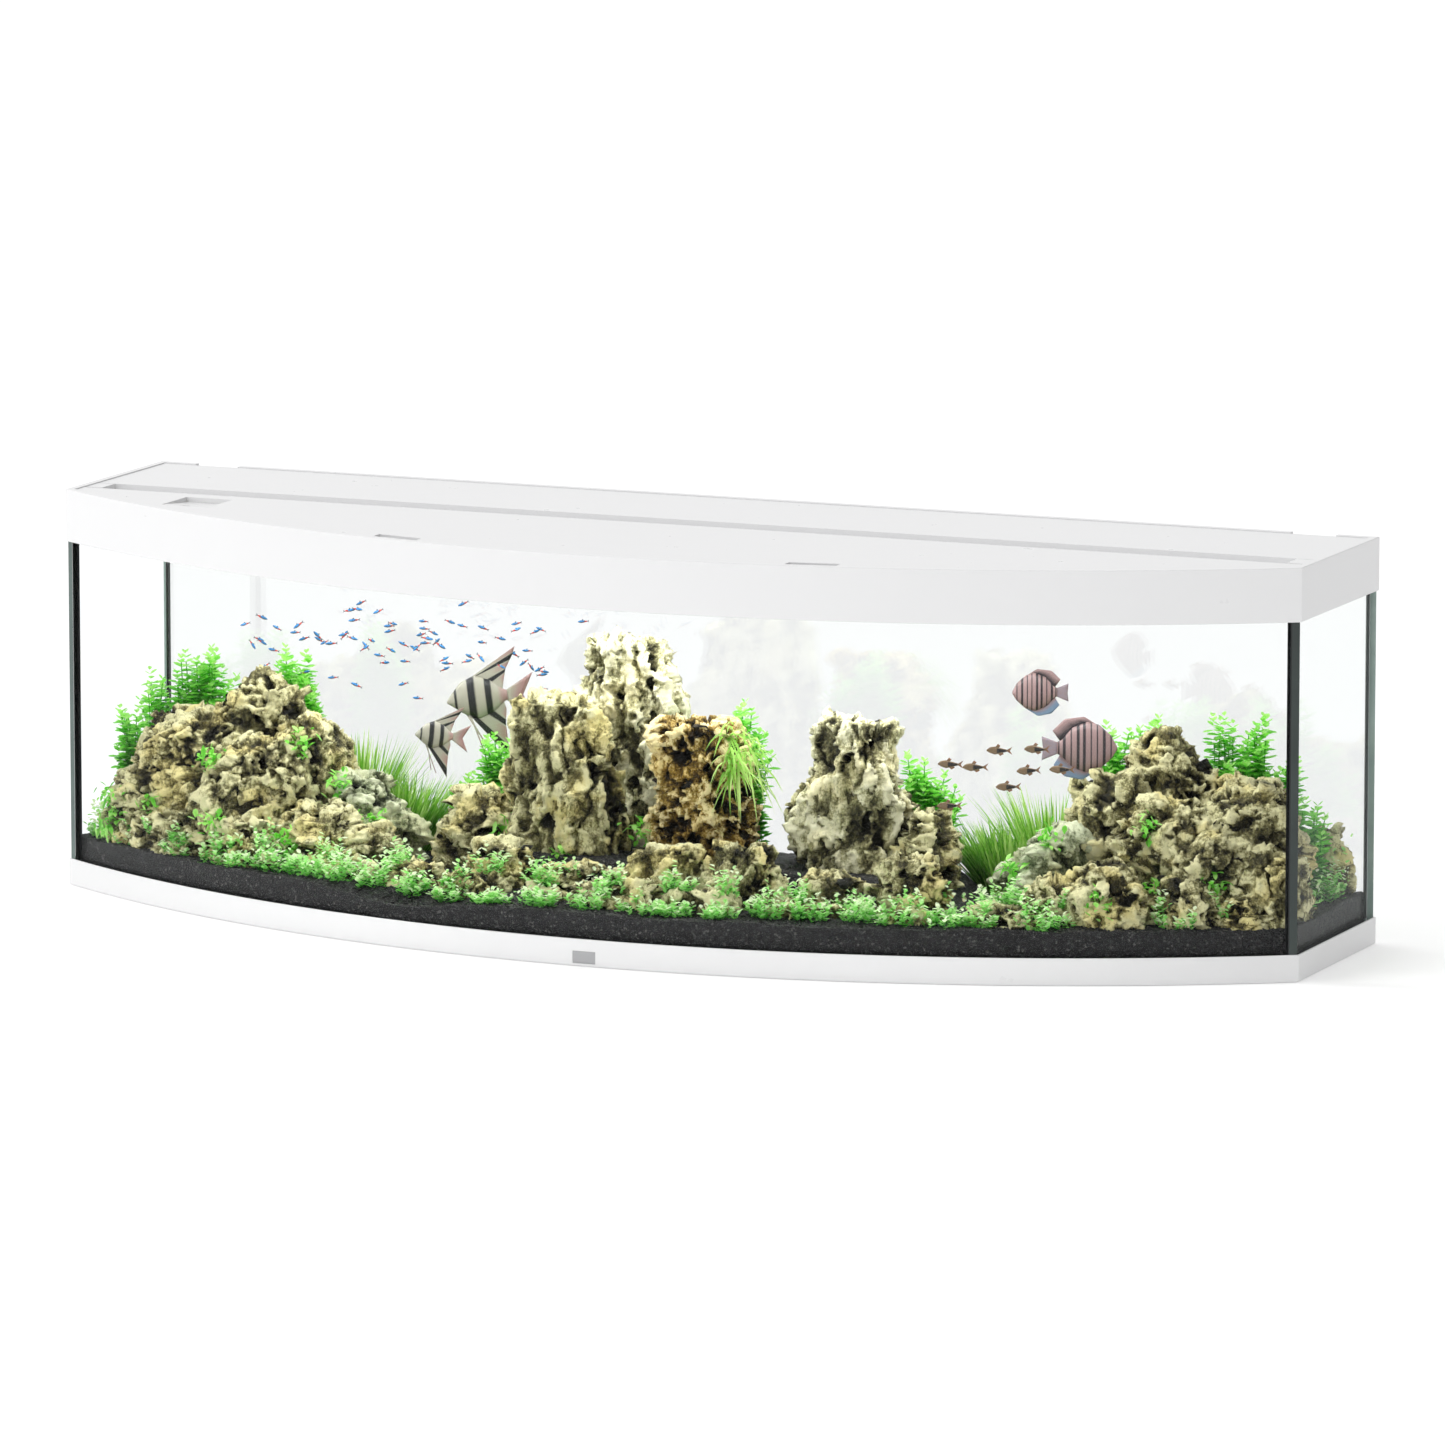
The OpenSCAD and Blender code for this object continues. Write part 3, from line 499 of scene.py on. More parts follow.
def stone(points, seed, voxel=0.0028, lump=0.007, lump_size=0.08, scoop=0.009, scoop_size=0.05,
          stretch=(1.0, 1.0, 0.5), cell=0.021, depth=0.012, pits=0.3, crease=0.007, grow=0.007, tone=0.0):
    """One weathered stone in the given hull: lumps, wide scoops with sharp crests, winding creases, small pits."""
    centre = points.mean(0)
    spread = points - centre
    size = np.abs(spread).max(0)
    grown = centre + spread * (1 + grow / size)
    foot, top = points[:, 2].min(), points[:, 2].max()
    grown[points[:, 2] < foot + 0.004, 2] -= 0.02 if foot < 0.1 else 0.045
    mesh = remeshed(grown, voxel, 6)
    shift = np.array([seed * 3.7, seed * 1.9, seed * 5.3])
    stretch = np.array(stretch)

    co, outward = vertex_arrays(mesh)
    lumps = sample(lambda p: noise.fractal(p, 0.9, 2.1, 3), (co + shift) / lump_size)
    co = co + outward * (lump * lumps)[:, None]

    warp = np.array([noise.noise_vector(Vector(p)) for p in ((co + shift) * 22).tolist()]) * 0.016
    middle, border, own = cells((co + shift + warp) * stretch / scoop_size)
    bowl = np.clip(middle / 0.75, 0, 1) ** 1.6
    co = co + outward * (scoop * (bowl - 0.45) * (0.5 + np.abs(own)))[:, None]
    # The crests between scoops are painted paler and the hollows darker: painted highlight and painted shade, partly
    # the stone's own wear.
    shade = 0.58 - 0.34 * bowl - 0.12 * smoothstep(0.14, 0.0, border)

    broken = chiselled((co + shift + warp * 0.6) * stretch, 0.032, 1.05)
    broken += chiselled((co + shift + warp * 0.3) * stretch, 0.0135, 1.0)
    move_vertices(mesh, co + outward * broken[:, None])
    # Raised facets are painted paler and sunken ones darker: painted highlight and painted shade.
    shade = shade - 0.28 * np.clip(broken / 0.008, -1, 1)

    co, normals = vertex_arrays(mesh)
    warp = np.array([noise.noise_vector(Vector(p)) for p in ((co + shift) * 55).tolist()]) * 0.009
    moved = (co + shift + warp) * (0.3 + 0.7 * stretch)
    middle, border, own = cells(moved / cell)
    open_cell = smoothstep(0.0, 0.25, own * 0.5 + 0.5 - (1 - pits))
    hole = smoothstep(0.08, 0.45, border) * open_cell
    winding = sample(noise.noise, moved * stretch * 38)
    fold = smoothstep(0.11, 0.0, np.abs(winding)) * smoothstep(-0.35, 0.1, sample(noise.noise, moved * 11))
    rough = sample(lambda p: noise.fractal(p, 0.7, 2.0, 3), (co + shift) * 150)
    rise = 0.0014 * rough + 0.0020 * smoothstep(0.25, 0.0, border) - depth * hole - crease * fold
    # Pits and creases are painted near-black, partly the stone's own dark and partly painted shade in the recesses; the
    # raised pit rims are painted paler as painted highlight.
    shade = shade + 0.7 * hole + 0.42 * fold - 0.55 * np.clip(np.abs(winding) - 0.22, 0, 1)
    shade = shade - 0.12 * smoothstep(0.2, 0.02, border) + 0.12 * rough + tone
    co = co + normals * rise[:, None]
    above = co[:, 2] > foot
    co[above, 2] = foot + (co[above, 2] - foot) * (top - foot) / (co[:, 2].max() - foot)
    faces = [list(p.vertices) for p in mesh.polygons]
    bpy.data.meshes.remove(mesh)
    return co, faces, np.clip(shade, 0, 1)


def boulder(x, y, z, width, depth, height, turn=0.0):
    """Corner points of a rough block around a middle point, turned about the upright axis."""
    rng = random.Random(int(1e4 * abs(x + y)) + 7)
    points = []
    for level, reach in ((-0.5, 0.85), (-0.1, 1.0), (0.25, 0.9), (0.5, 0.5)):
        for k in range(8):
            a = math.tau * k / 8 + rng.uniform(-0.3, 0.3)
            r = 0.5 * reach * rng.uniform(0.85, 1.0)
            u, v = width * r * math.cos(a), depth * r * math.sin(a)
            points.append((x + u * math.cos(turn) - v * math.sin(turn), y + u * math.sin(turn) + v * math.cos(turn),
                           z + height * (level + rng.uniform(-0.06, 0.06))))
    return np.array(points)


def off_the_glass(points, gap):
    """Points moved in from the panes by a gap."""
    x = np.clip(points[:, 0], -GRAVEL_X + gap, GRAVEL_X - gap)
    front = ARC_Y - np.sqrt((ARC_R - INNER) ** 2 - x * x)
    return np.stack([x, np.clip(points[:, 1], front + gap, GRAVEL_REAR - gap), points[:, 2]], 1)


def place_stones(name, parts, material, slot, *replaced):
    points, faces, values = joined(parts)
    points = off_the_glass(points, 0.004)
    obj = make_object(name, points, faces, material)
    set_attribute(obj, "shade", values)
    if replaced:
        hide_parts(*replaced)
    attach(obj, "tank")
    landscape.append(BVHTree.FromPolygons(points.tolist(), faces))
    return obj


def turned_over(part, source, target):
    """A stone made for the source hull, turned left to right and fitted to the target hull."""
    points, faces, values = part
    low, high = source.min(0), source.max(0)
    new_low, new_high = target.min(0), target.max(0)
    share = (points - (low + high) / 2) * (-1, 1, 1) / (high - low)
    return (new_low + new_high) / 2 + share * (new_high - new_low), [f[::-1] for f in faces], values


landscape = []


MOUND = {"stretch": (0.85, 0.85, 0.75), "cell": 0.019, "pits": 0.3}
TALL = {"stretch": (1.0, 1.0, 0.36), "scoop": 0.017, "scoop_size": 0.048, "cell": 0.024, "depth": 0.014,
        "lump": 0.010, "pits": 0.28, "crease": 0.010}
SMALL = {**MOUND, "voxel": 0.0026, "lump": 0.008, "lump_size": 0.05, "scoop": 0.008, "scoop_size": 0.04,
         "grow": 0.010}
for number, (node, material, style) in enumerate([
        ("apex", ROCK, {"depth": 0.016, "cell": 0.024, "pits": 0.4, "grow": 0.016}),
        ("round", ROCK, {"depth": 0.009, "grow": 0.012}),
        ("overhang", ROCK, {"depth": 0.013, "stretch": (0.55, 1.0, 1.0)}),
        ("flank", ROCK_GREY, {"stretch": (0.7, 1.0, 0.6), "depth": 0.009, "grow": 0.012})]):
    source = solids(f"rock_left_{node}")[0]
    target = solids(f"rock_right_{node}")[0]
    if node == "apex":
        source = np.concatenate([source, boulder(-0.706, 0.065, 0.262, 0.150, 0.085, 0.10)])
    part = stone(source, number + 1, **{**MOUND, **style})
    place_stones(f"stone_left_{node}", [part], material, "rock_khaki", f"rock_left_{node}")
    place_stones(f"stone_right_{node}", [turned_over(part, source, target)], material, "rock_khaki",
                 f"rock_right_{node}")

# Stones wedged between each mound's named ones: middle point, then width, depth and height
WEDGED_LEFT = [(-0.665, -0.022, 0.195, 0.19, 0.11, 0.12), (-0.80, 0.02, 0.20, 0.20, 0.12, 0.14),
               (-0.60, 0.02, 0.20, 0.13, 0.12, 0.16), (-0.70, -0.065, 0.145, 0.16, 0.07, 0.12),
               (-0.86, -0.015, 0.13, 0.14, 0.08, 0.12), (-0.545, -0.075, 0.12, 0.15, 0.06, 0.10),
               (-0.465, -0.085, 0.10, 0.10, 0.08, 0.09), (-0.80, -0.06, 0.10, 0.12, 0.06, 0.08)]
WEDGED_RIGHT = [(0.772, 0.040, 0.195, 0.19, 0.11, 0.12), (0.87, 0.085, 0.20, 0.16, 0.12, 0.14),
                (0.688, 0.055, 0.20, 0.12, 0.10, 0.16), (0.835, 0.000, 0.145, 0.15, 0.06, 0.12),
                (0.918, 0.030, 0.13, 0.09, 0.07, 0.12), (0.717, -0.060, 0.12, 0.13, 0.06, 0.10),
                (0.645, -0.070, 0.10, 0.10, 0.08, 0.09), (0.890, 0.000, 0.10, 0.08, 0.05, 0.08)]
left_foot = [stone(p, 11 + k, **SMALL) for k, p in enumerate(solids("left_mound_stones"))]
left_foot += [stone(boulder(*place), 61 + k, **{**MOUND, "lump": 0.009, "scoop": 0.009})
              for k, place in enumerate(WEDGED_LEFT)]
place_stones("stones_left_foot", left_foot, ROCK, "rock_khaki", "left_mound_stones")
right_foot = [stone(p, 21 + k, **{**SMALL, "grow": 0.003 if p[:, 0].max() > 0.97 else 0.010, "lump": 0.006})
              for k, p in enumerate(solids("right_mound_stones"))]
right_foot += [stone(boulder(*place), 81 + k, **{**MOUND, "lump": 0.008, "scoop": 0.008, "grow": 0.003})
               for k, place in enumerate(WEDGED_RIGHT)]
place_stones("stones_right_foot", right_foot, ROCK, "rock_khaki", "right_mound_stones")
for number, (node, material, slot, style) in enumerate([
        ("tall", ROCK_PALE, "rock_khaki", {**TALL, "grow": 0.010}),
        ("pillar", ROCK, "rock_khaki", {**TALL, "cell": 0.028, "scoop_size": 0.055, "grow": 0.010}),
        ("orange", ROCK_ORANGE, "rock_orange", {"stretch": (1.0, 1.0, 0.75), "cell": 0.024, "depth": 0.017,
                                                "pits": 0.7, "grow": 0.008}),
        ("crag", ROCK_PALE, "rock_khaki", {**TALL, "grow": 0.008, "tone": 0.08})]):
    part = stone(solids(f"rock_centre_{node}")[0], 31 + number, **style)
    place_stones(f"stone_{node}", [part], material, slot, f"rock_centre_{node}")
low_ones = [stone(p, 41 + k, **{**MOUND, "grow": 0.014}) for k, p in enumerate(solids("rock_centre_low"))]
place_stones("stones_centre_low", low_ones, ROCK, "rock_khaki", "rock_centre_low")
steps = [stone(p, 51 + k, **{**SMALL, "stretch": (1.0, 1.0, 0.5), "grow": 0.012})
         for k, p in enumerate(solids("terrace_stones"))]
place_stones("stones_terrace", steps, ROCK, "rock_khaki", "terrace_stones")


# Low slabs and loose pieces on the slope in front: middle point, then width, depth and height
LOOSE = [(-0.34, -0.165, 0.088, 0.075, 0.05, 0.035), (-0.235, -0.215, 0.090, 0.11, 0.04, 0.040),
         (-0.115, -0.212, 0.086, 0.085, 0.035, 0.030), (0.005, -0.222, 0.096, 0.15, 0.045, 0.052),
         (0.150, -0.218, 0.092, 0.11, 0.04, 0.044), (0.265, -0.205, 0.088, 0.09, 0.035, 0.034),
         (0.345, -0.200, 0.086, 0.06, 0.03, 0.028), (0.455, -0.195, 0.088, 0.05, 0.03, 0.034),
         (-0.435, -0.185, 0.088, 0.045, 0.03, 0.034), (-0.49, -0.150, 0.086, 0.035, 0.03, 0.026),
         (-0.61, -0.165, 0.088, 0.05, 0.03, 0.032), (-0.885, 0.030, 0.084, 0.05, 0.03, 0.03)]
loose = [stone(boulder(x, y, z, w, d, h), 101 + k, voxel=0.0024, lump=0.004, lump_size=0.03, scoop=0.004,
               scoop_size=0.03, cell=0.016, depth=0.005, crease=0.004, grow=0.002)
         for k, (x, y, z, w, d, h) in enumerate(LOOSE)]
place_stones("stones_loose", loose, ROCK, "rock_khaki")


# ---- Foam under the glass ----

def build_foam():
    """A sheet of foam whose cut edge bulges where the tank presses on it."""
    low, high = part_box("foam_mat")
    plan = np.unique(solids("foam_mat")[0][:, :2].round(5), axis=0)
    plan = plan[np.argsort(np.arctan2(plan[:, 1], plan[:, 0]))]
    inward = -plan / np.linalg.norm(plan, axis=1)[:, None]
    n = len(plan)
    points, faces = [], []
    profile = [(0.0016, 0.0), (0.0007, 0.15), (0.0002, 0.35), (0.0, 0.5), (0.0002, 0.65), (0.0007, 0.85), (0.0016, 1.0)]
    for row, (inset, rise) in enumerate(profile):
        z = low.z + rise * (high.z - low.z)
        points.extend((x, y, z) for x, y in plan + inward * inset)
        if row:
            faces.extend([(row - 1) * n + k, (row - 1) * n + (k + 1) % n, row * n + (k + 1) % n, row * n + k]
                         for k in range(n))
    faces.append(list(range(n))[::-1])
    faces.append(list(range((len(profile) - 1) * n, len(profile) * n)))
    pad = make_object("foam_pad", points, faces, FOAM)
    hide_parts("foam_mat")
    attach(pad, "tank")


build_foam()


# ---- Plants ----

WORLD_UP = np.array([0.0, 0.0, 1.0])
LOOK = Vector((-0.391, 0.906, -0.163))


def unit(v):
    return v / np.maximum(np.linalg.norm(v, axis=-1, keepdims=True), 1e-9)


def leaves(roots, ways, lengths, widths, tones, droop=0.25, profile=((0, 0.15), (0.4, 1.0), (0.75, 0.75)), fold=0.2):
    """Leaves from their roots along their ways: each is folded along its rib and droops towards its tip."""
    count = len(roots)
    ways = unit(ways)
    side = unit(np.cross(ways, WORLD_UP + 0.01 * ways[:, ::-1]))
    face = np.cross(side, ways)
    rows = []
    tone = []
    for t, half in profile:
        middle = roots + ways * (lengths * t)[:, None] - WORLD_UP * (droop * lengths * t * t)[:, None]
        reach = side * (widths * half / 2)[:, None]
        sunk = face * (widths * half * fold)[:, None]
        rows += [middle - reach, middle - sunk, middle + reach]
        # The middle row, sunk in the fold, is painted 0.1 darker: painted shade in the crease.
        tone += [tones + 0.08 * t, tones + 0.08 * t - 0.1, tones + 0.08 * t]
    rows.append(roots + ways * lengths[:, None] - WORLD_UP * (droop * lengths)[:, None])
    tone.append(tones + 0.1)
    per = len(rows)
    points = np.stack(rows, 1).reshape(-1, 3)
    one = []
    for r in range(0, per - 4, 3):
        one += [[r, r + 3, r + 4, r + 1], [r + 1, r + 4, r + 5, r + 2]]
    one += [[per - 4, per - 1, per - 3], [per - 3, per - 1, per - 2]]
    faces = [[i + k * per for i in f] for k in range(count) for f in one]
    return points, faces, np.stack(tone, 1).reshape(-1)


def stalks(lines, radius):
    """Thin three-sided stems along lines of points."""
    points, faces, values = [], [], []
    for line in lines:
        start = len(points)
        for place in line:
            for k in range(3):
                a = math.tau * k / 3
                points.append((place[0] + radius * math.cos(a), place[1] + radius * math.sin(a), place[2]))
                values.append(0.3)
        for row in range(len(line) - 1):
            for k in range(3):
                a, b = start + 3 * row + k, start + 3 * row + (k + 1) % 3
                faces.append([a, b, b + 3, a + 3])
        faces.append([start + 2, start + 1, start])
        end = start + 3 * (len(line) - 1)
        faces.append([end, end + 1, end + 2])
    return np.array(points), faces, np.array(values)


def first_hit(origin, way):
    best = None
    for tree in landscape:
        place, normal, _, distance = tree.ray_cast(origin, way)
        if place is not None and (best is None or distance < best[2]):
            best = (place, normal, distance)
    return best


def bush(hull, stems, leaf, gap, seed):
    """Upright stems in the hull's footprint, with crossed pairs of leaves that are smaller at the tips; leaves are
    painted darker low on the stem and brighter at the tips, as painted shade and painted highlight.
    """
    rng = np.random.default_rng(seed)
    low, high = hull.min(0), hull.max(0)
    middle, half = (low + high) / 2, (high - low) / 2
    lines, roots, ways, lengths, tones = [], [], [], [], []
    for _ in range(stems):
        a, r = rng.uniform(0, math.tau), math.sqrt(rng.uniform(0, 1))
        x = middle[0] + (half[0] - 0.6 * leaf) * r * math.cos(a)
        y = middle[1] + (half[1] - 0.6 * leaf) * r * math.sin(a)
        ground = gravel_height(x, y) - 0.004
        height = (high[2] - ground) * (1 - 0.42 * r ** 3) * rng.uniform(0.80, 1.08)
        lean = rng.normal(0, 0.012, 2)
        count = int(height / gap)
        rise = np.linspace(0, 1, count)
        line = np.stack([x + lean[0] * rise ** 2, y + lean[1] * rise ** 2, ground + height * rise], 1)
        lines.append(line[:: max(1, count // 6)])
        turn = rng.uniform(0, math.tau)
        for k in range(count // 6, count):
            near_tip = smoothstep(0, 4, count - k)
            for way in (0, math.pi):
                b = turn + k * math.pi / 2 + way + rng.normal(0, 0.2)
                roots.append(line[k])
                ways.append((math.cos(b), math.sin(b), 0.35 + 1.4 * (1 - near_tip) + rng.normal(0, 0.15)))
                lengths.append(leaf * (0.5 + 0.5 * near_tip) * rng.uniform(0.8, 1.15))
                # Tone rises up the stem and at the tips: painted shade low down and painted highlight on top, plus a
                # random tone per leaf.
                tones.append(0.32 + 0.45 * (k / count) ** 2 + 0.25 * (1 - near_tip) + rng.normal(0, 0.14))
    lengths = np.array(lengths)
    return [leaves(np.array(roots), np.array(ways), lengths, lengths * 0.62, np.array(tones)),
            stalks(lines, 0.0009)]


def sprigs(places, count, leaf, seed, spread=0.007):
    """Small rosettes on the stones' faces, at places given as (x, z) on the plane in front of them."""
    rng = np.random.default_rng(seed)
    roots, ways = [], []
    for x, z in places:
        found = first_hit(Vector((x, -0.06, z)) - LOOK, LOOK)
        if found is None:
            continue
        normal = np.array(found[1])
        for _ in range(count):
            roots.append(np.array(found[0]) + rng.normal(0, spread, 3) - normal * 0.002)
            ways.append(normal * 0.7 + WORLD_UP * 0.5 + rng.normal(0, 0.6, 3))
    roots, ways = np.array(roots), np.array(ways)
    lengths = leaf * rng.uniform(0.7, 1.3, len(roots))
    return leaves(roots, ways, lengths, lengths * 0.45, rng.uniform(0.35, 1.0, len(roots)), droop=0.35)


def grass_clump(x, y, radius, top, lean, count, seed):
    """Narrow blades that rise from one crown, spread to one side and arch over."""
    rng = np.random.default_rng(seed)
    a, r = rng.uniform(0, math.tau, count), np.sqrt(rng.uniform(0, 1, count))
    u, v = x + radius * r * np.cos(a), y + 0.7 * radius * r * np.sin(a)
    ground = np.array([gravel_height(*p) for p in zip(u, v)]) - 0.003
    roots = np.stack([u, v, ground], 1)
    side = 0.35 * r * np.cos(a) + lean * rng.uniform(0.0, 1.0, count)
    ways = np.stack([side, 0.25 * r * np.sin(a), np.ones(count)], 1) + rng.normal(0, 0.07, (count, 3))
    lengths = (top - ground) * rng.uniform(0.6, 1.05, count) * np.sqrt(1 + side ** 2)
    return leaves(roots, ways, lengths, rng.uniform(0.003, 0.005, count), rng.uniform(0.25, 1.0, count),
                  droop=0.22, profile=((0, 0.8), (0.25, 1.0), (0.5, 0.9), (0.75, 0.6)), fold=0.12)


def hanging_grass(count, seed):
    """Bright blades that hang over the right side of the orange stone."""
    rng = np.random.default_rng(seed)
    roots, ways = [], []
    for _ in range(count):
        found = first_hit(Vector((rng.uniform(0.085, 0.165), 0.0, rng.uniform(0.24, 0.32))) - LOOK, LOOK)
        if found is not None:
            normal = np.array(found[1])
            roots.append(np.array(found[0]))
            ways.append(normal * 0.8 + np.array([0.25, -0.1, 0.35]) + rng.normal(0, 0.3, 3))
    lengths = rng.uniform(0.035, 0.075, len(roots))
    return leaves(np.array(roots), np.array(ways), lengths, rng.uniform(0.003, 0.005, len(roots)),
                  rng.uniform(0.45, 1.0, len(roots)), droop=0.9,
                  profile=((0, 0.8), (0.25, 1.0), (0.5, 0.9), (0.75, 0.6)), fold=0.12)


def tuft(x, y, radius, height, shoots, rng):
    """One low cushion of shoots, each with small leaves up its stem."""
    roots, ways, lengths, tones = [], [], [], []
    for _ in range(shoots):
        a, r = rng.uniform(0, math.tau), math.sqrt(rng.uniform(0, 1))
        u, v = x + radius * r * math.cos(a), y + 0.6 * radius * r * math.sin(a)
        found = first_hit(Vector((u, v, 0.5)), Vector((0, 0, -1)))
        ground = gravel_height(u, v)
        if found is not None and found[0].z > ground:
            ground = found[0].z
            if ground > gravel_height(u, v) + 0.030:
                continue
        tall = height * (1 - 0.5 * r * r) * rng.uniform(0.6, 1.2)
        for k in range(8):
            b = rng.uniform(0, math.tau)
            rise = k / 7
            roots.append((u + 0.5 * tall * rise * r * math.cos(a), v + 0.3 * tall * rise * r * math.sin(a),
                          ground + tall * rise))
            ways.append((math.cos(b), 0.8 * math.sin(b), rng.uniform(0.2, 1.3)))
            lengths.append(rng.uniform(0.0065, 0.0125))
            # Tone rises up each shoot: painted shade at the base and painted highlight at the top, plus a random tone
            # per leaf.
            tones.append(0.25 + 0.55 * rise + rng.normal(0, 0.18))
    return roots, ways, lengths, tones


def carpet(seed):
    """Tufts in an uneven row along the front glass, and a sparser row further back."""
    rng = np.random.default_rng(seed)
    spots = []
    x = -0.945
    while x < 0.935:
        spots.append((x, front_at(x) + rng.uniform(0.024, 0.048), rng.uniform(0.022, 0.038),
                      rng.uniform(0.020, 0.042), 30))
        x += rng.uniform(0.046, 0.082)
    for near, far, gap in ((0.065, 0.100, 0.115), (0.105, 0.160, 0.15)):
        x = -0.62
        while x < 0.66:
            spots.append((x, front_at(x) + rng.uniform(near, far), rng.uniform(0.020, 0.034),
                          rng.uniform(0.022, 0.045), 26))
            x += rng.uniform(0.5 * gap, 1.2 * gap)
    spots += [(-0.938, 0.035, 0.030, 0.060, 26), (-0.955, 0.085, 0.022, 0.075, 22), (0.955, 0.12, 0.018, 0.07, 20),
              (0.955, 0.20, 0.020, 0.05, 20), (0.968, 0.235, 0.012, 0.09, 14)]
    grown = [tuft(*spot, rng) for spot in spots]
    roots, ways, lengths, tones = (np.array([v for one in grown for v in one[i]]) for i in range(4))
    return leaves(roots, ways, lengths, lengths * 0.62, tones)


def place_plants(name, parts, material, slot, *replaced):
    points, faces, values = joined(parts)
    points = off_the_glass(points, 0.001)
    obj = make_object(name, points, faces, material)
    set_attribute(obj, "tone", values)
    if replaced:
        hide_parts(*replaced)
    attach(obj, "tank")
    return obj


def clump(x0, x1, y0, y1, top):
    """Corner points of the room that one group of stems takes up."""
    return np.array([(x, y, z) for x in (x0, x1) for y in (y0, y1) for z in (0.06, top)])


bushes = solids("leafy_plants")
# Lower stems that fill in round the mounds and the middle stones
bushes += [clump(-0.978, -0.935, 0.075, 0.16, 0.245), clump(-0.975, -0.930, 0.16, 0.235, 0.295),
           clump(-0.695, -0.655, 0.115, 0.16, 0.305), clump(-0.735, -0.665, 0.135, 0.19, 0.350),
           clump(0.865, 0.925, 0.20, 0.25, 0.275), clump(0.915, 0.955, 0.20, 0.25, 0.215),
           clump(0.612, 0.650, 0.15, 0.21, 0.325), clump(-0.395, -0.345, 0.06, 0.11, 0.195),
           clump(0.355, 0.425, 0.06, 0.12, 0.225)]
for side, keep in (("left", lambda p: p[:, 0].max() < -0.5), ("right", lambda p: p[:, 0].min() > 0.5),
                   ("middle", lambda p: p[:, 0].min() > -0.5 and p[:, 0].max() < 0.5)):
    grown = []
    for k, hull in enumerate(bushes):
        if keep(hull):
            wide = np.ptp(hull[:, 0])
            grown += bush(hull, int(330 * wide) + 7, 0.020, 0.0066, 70 + k)
    place_plants(f"stem_plants_{side}", grown, LEAF, "leaf_green", *(["leafy_plants"] if side == "left" else []))
# Grass behind each mound's inner foot: middle point, radius, top, lean and number of blades
GRASS_CLUMPS = [(-0.570, 0.125, 0.026, 0.290, 0.25, 300), (-0.490, 0.115, 0.036, 0.222, 0.55, 480),
                (0.552, 0.130, 0.026, 0.275, -0.25, 300), (0.485, 0.115, 0.036, 0.210, -0.55, 480)]
place_plants("grass_clumps", [grass_clump(*c, 90 + k) for k, c in enumerate(GRASS_CLUMPS)] + [hanging_grass(150, 95)],
             GRASS, "grass_green", "grass_and_carpet")
place_plants("carpet_plants", [carpet(97)], CARPET, "grass_green", "grass_and_carpet")
ON_STONES = [(-0.737, 0.217), (-0.836, 0.142), (-0.730, 0.124), (-0.604, 0.103), (-0.471, 0.141), (-0.522, 0.194),
             (-0.586, 0.253), (-0.907, 0.145), (-0.918, 0.100), (-0.900, 0.115), (-0.370, 0.127), (-0.250, 0.142),
             (-0.021, 0.158), (-0.154, 0.113), (0.060, 0.345), (0.085, 0.355), (0.115, 0.345), (0.145, 0.325)]
ON_RIGHT = [(0.78, 0.217), (0.885, 0.142), (0.80, 0.124), (0.70, 0.103), (0.575, 0.141), (0.63, 0.194), (0.665, 0.253)]
place_plants("stone_sprigs", [sprigs(ON_STONES + ON_RIGHT, 46, 0.016, 99, 0.010)], LEAF, "leaf_green")


# ---- Loose grains on the gravel ----

def scatter_grains(count, seed):
    rng = np.random.default_rng(seed)
    bm = bmesh.new()
    bmesh.ops.create_icosphere(bm, subdivisions=1, radius=1.0)
    ball = np.array([v.co[:] for v in bm.verts])
    ball_faces = [[v.index for v in f.verts] for f in bm.faces]
    bm.free()
    x = rng.uniform(-0.97, 0.97, count)
    y = np.array([front_at(v) for v in x]) + 0.005 + rng.exponential(0.07, count)
    y = np.minimum(y, 0.29)
    z = np.array([gravel_height(*p) for p in zip(x, y)]) + 0.0004
    size = rng.uniform(0.0011, 0.0022, (count, 3))
    lumpy = ball[None] * rng.uniform(0.75, 1.2, (count, len(ball), 1))
    points = (np.stack([x, y, z], 1)[:, None] + lumpy * size[:, None]).reshape(-1, 3)
    faces = [[i + k * len(ball) for i in f] for k in range(count) for f in ball_faces]
    grains = make_object("gravel_grains", points, faces, gravel.data.materials[0], smooth=False)
    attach(grains, "tank")


scatter_grains(5200, 5)


# ---- Fish ----

def fish_finish(name, dark, body, fin):
    n = Nodes(name)
    scales = n.voronoi(900.0)
    level = n.math("ADD", n.attribute("tone"), n.math("MULTIPLY", n.math("SUBTRACT", n.noise(260.0), 0.5), 0.12))
    colour = n.ramp(level, [(0.12, dark), (0.32, body), (0.65, body), (0.85, fin)])
    n.shade(colour, n.span(n.noise(400.0), 0.3, 0.5), n.bump(scales, 0.3, 0.0006))
    return n.material


def fish_body(outline, thickness, paint, rings=16, around=12):
    """A closed body from mouth to tail root; outline is (share of length, middle, half height), lengths as shares."""
    s, mid, half = np.array(outline).T
    along = np.linspace(0, 1, rings)
    centre, tall = np.interp(along, s, mid), np.interp(along, s, half)
    wide = thickness * np.sin(np.pi * np.clip(along * 0.86 + 0.08, 0, 1)) ** 0.7
    points, values = [], []
    for k in range(rings):
        for a in np.linspace(0, math.tau, around, endpoint=False):
            points.append((-along[k], wide[k] * math.sin(a), centre[k] + tall[k] * math.cos(a)))
            values.append(paint(along[k], math.cos(a)))
    faces = [[k * around + j, k * around + (j + 1) % around, (k + 1) * around + (j + 1) % around, (k + 1) * around + j]
             for k in range(rings - 1) for j in range(around)]
    faces.append(list(range(around))[::-1])
    faces.append(list(range((rings - 1) * around, rings * around)))
    return np.array(points), faces, np.array(values)


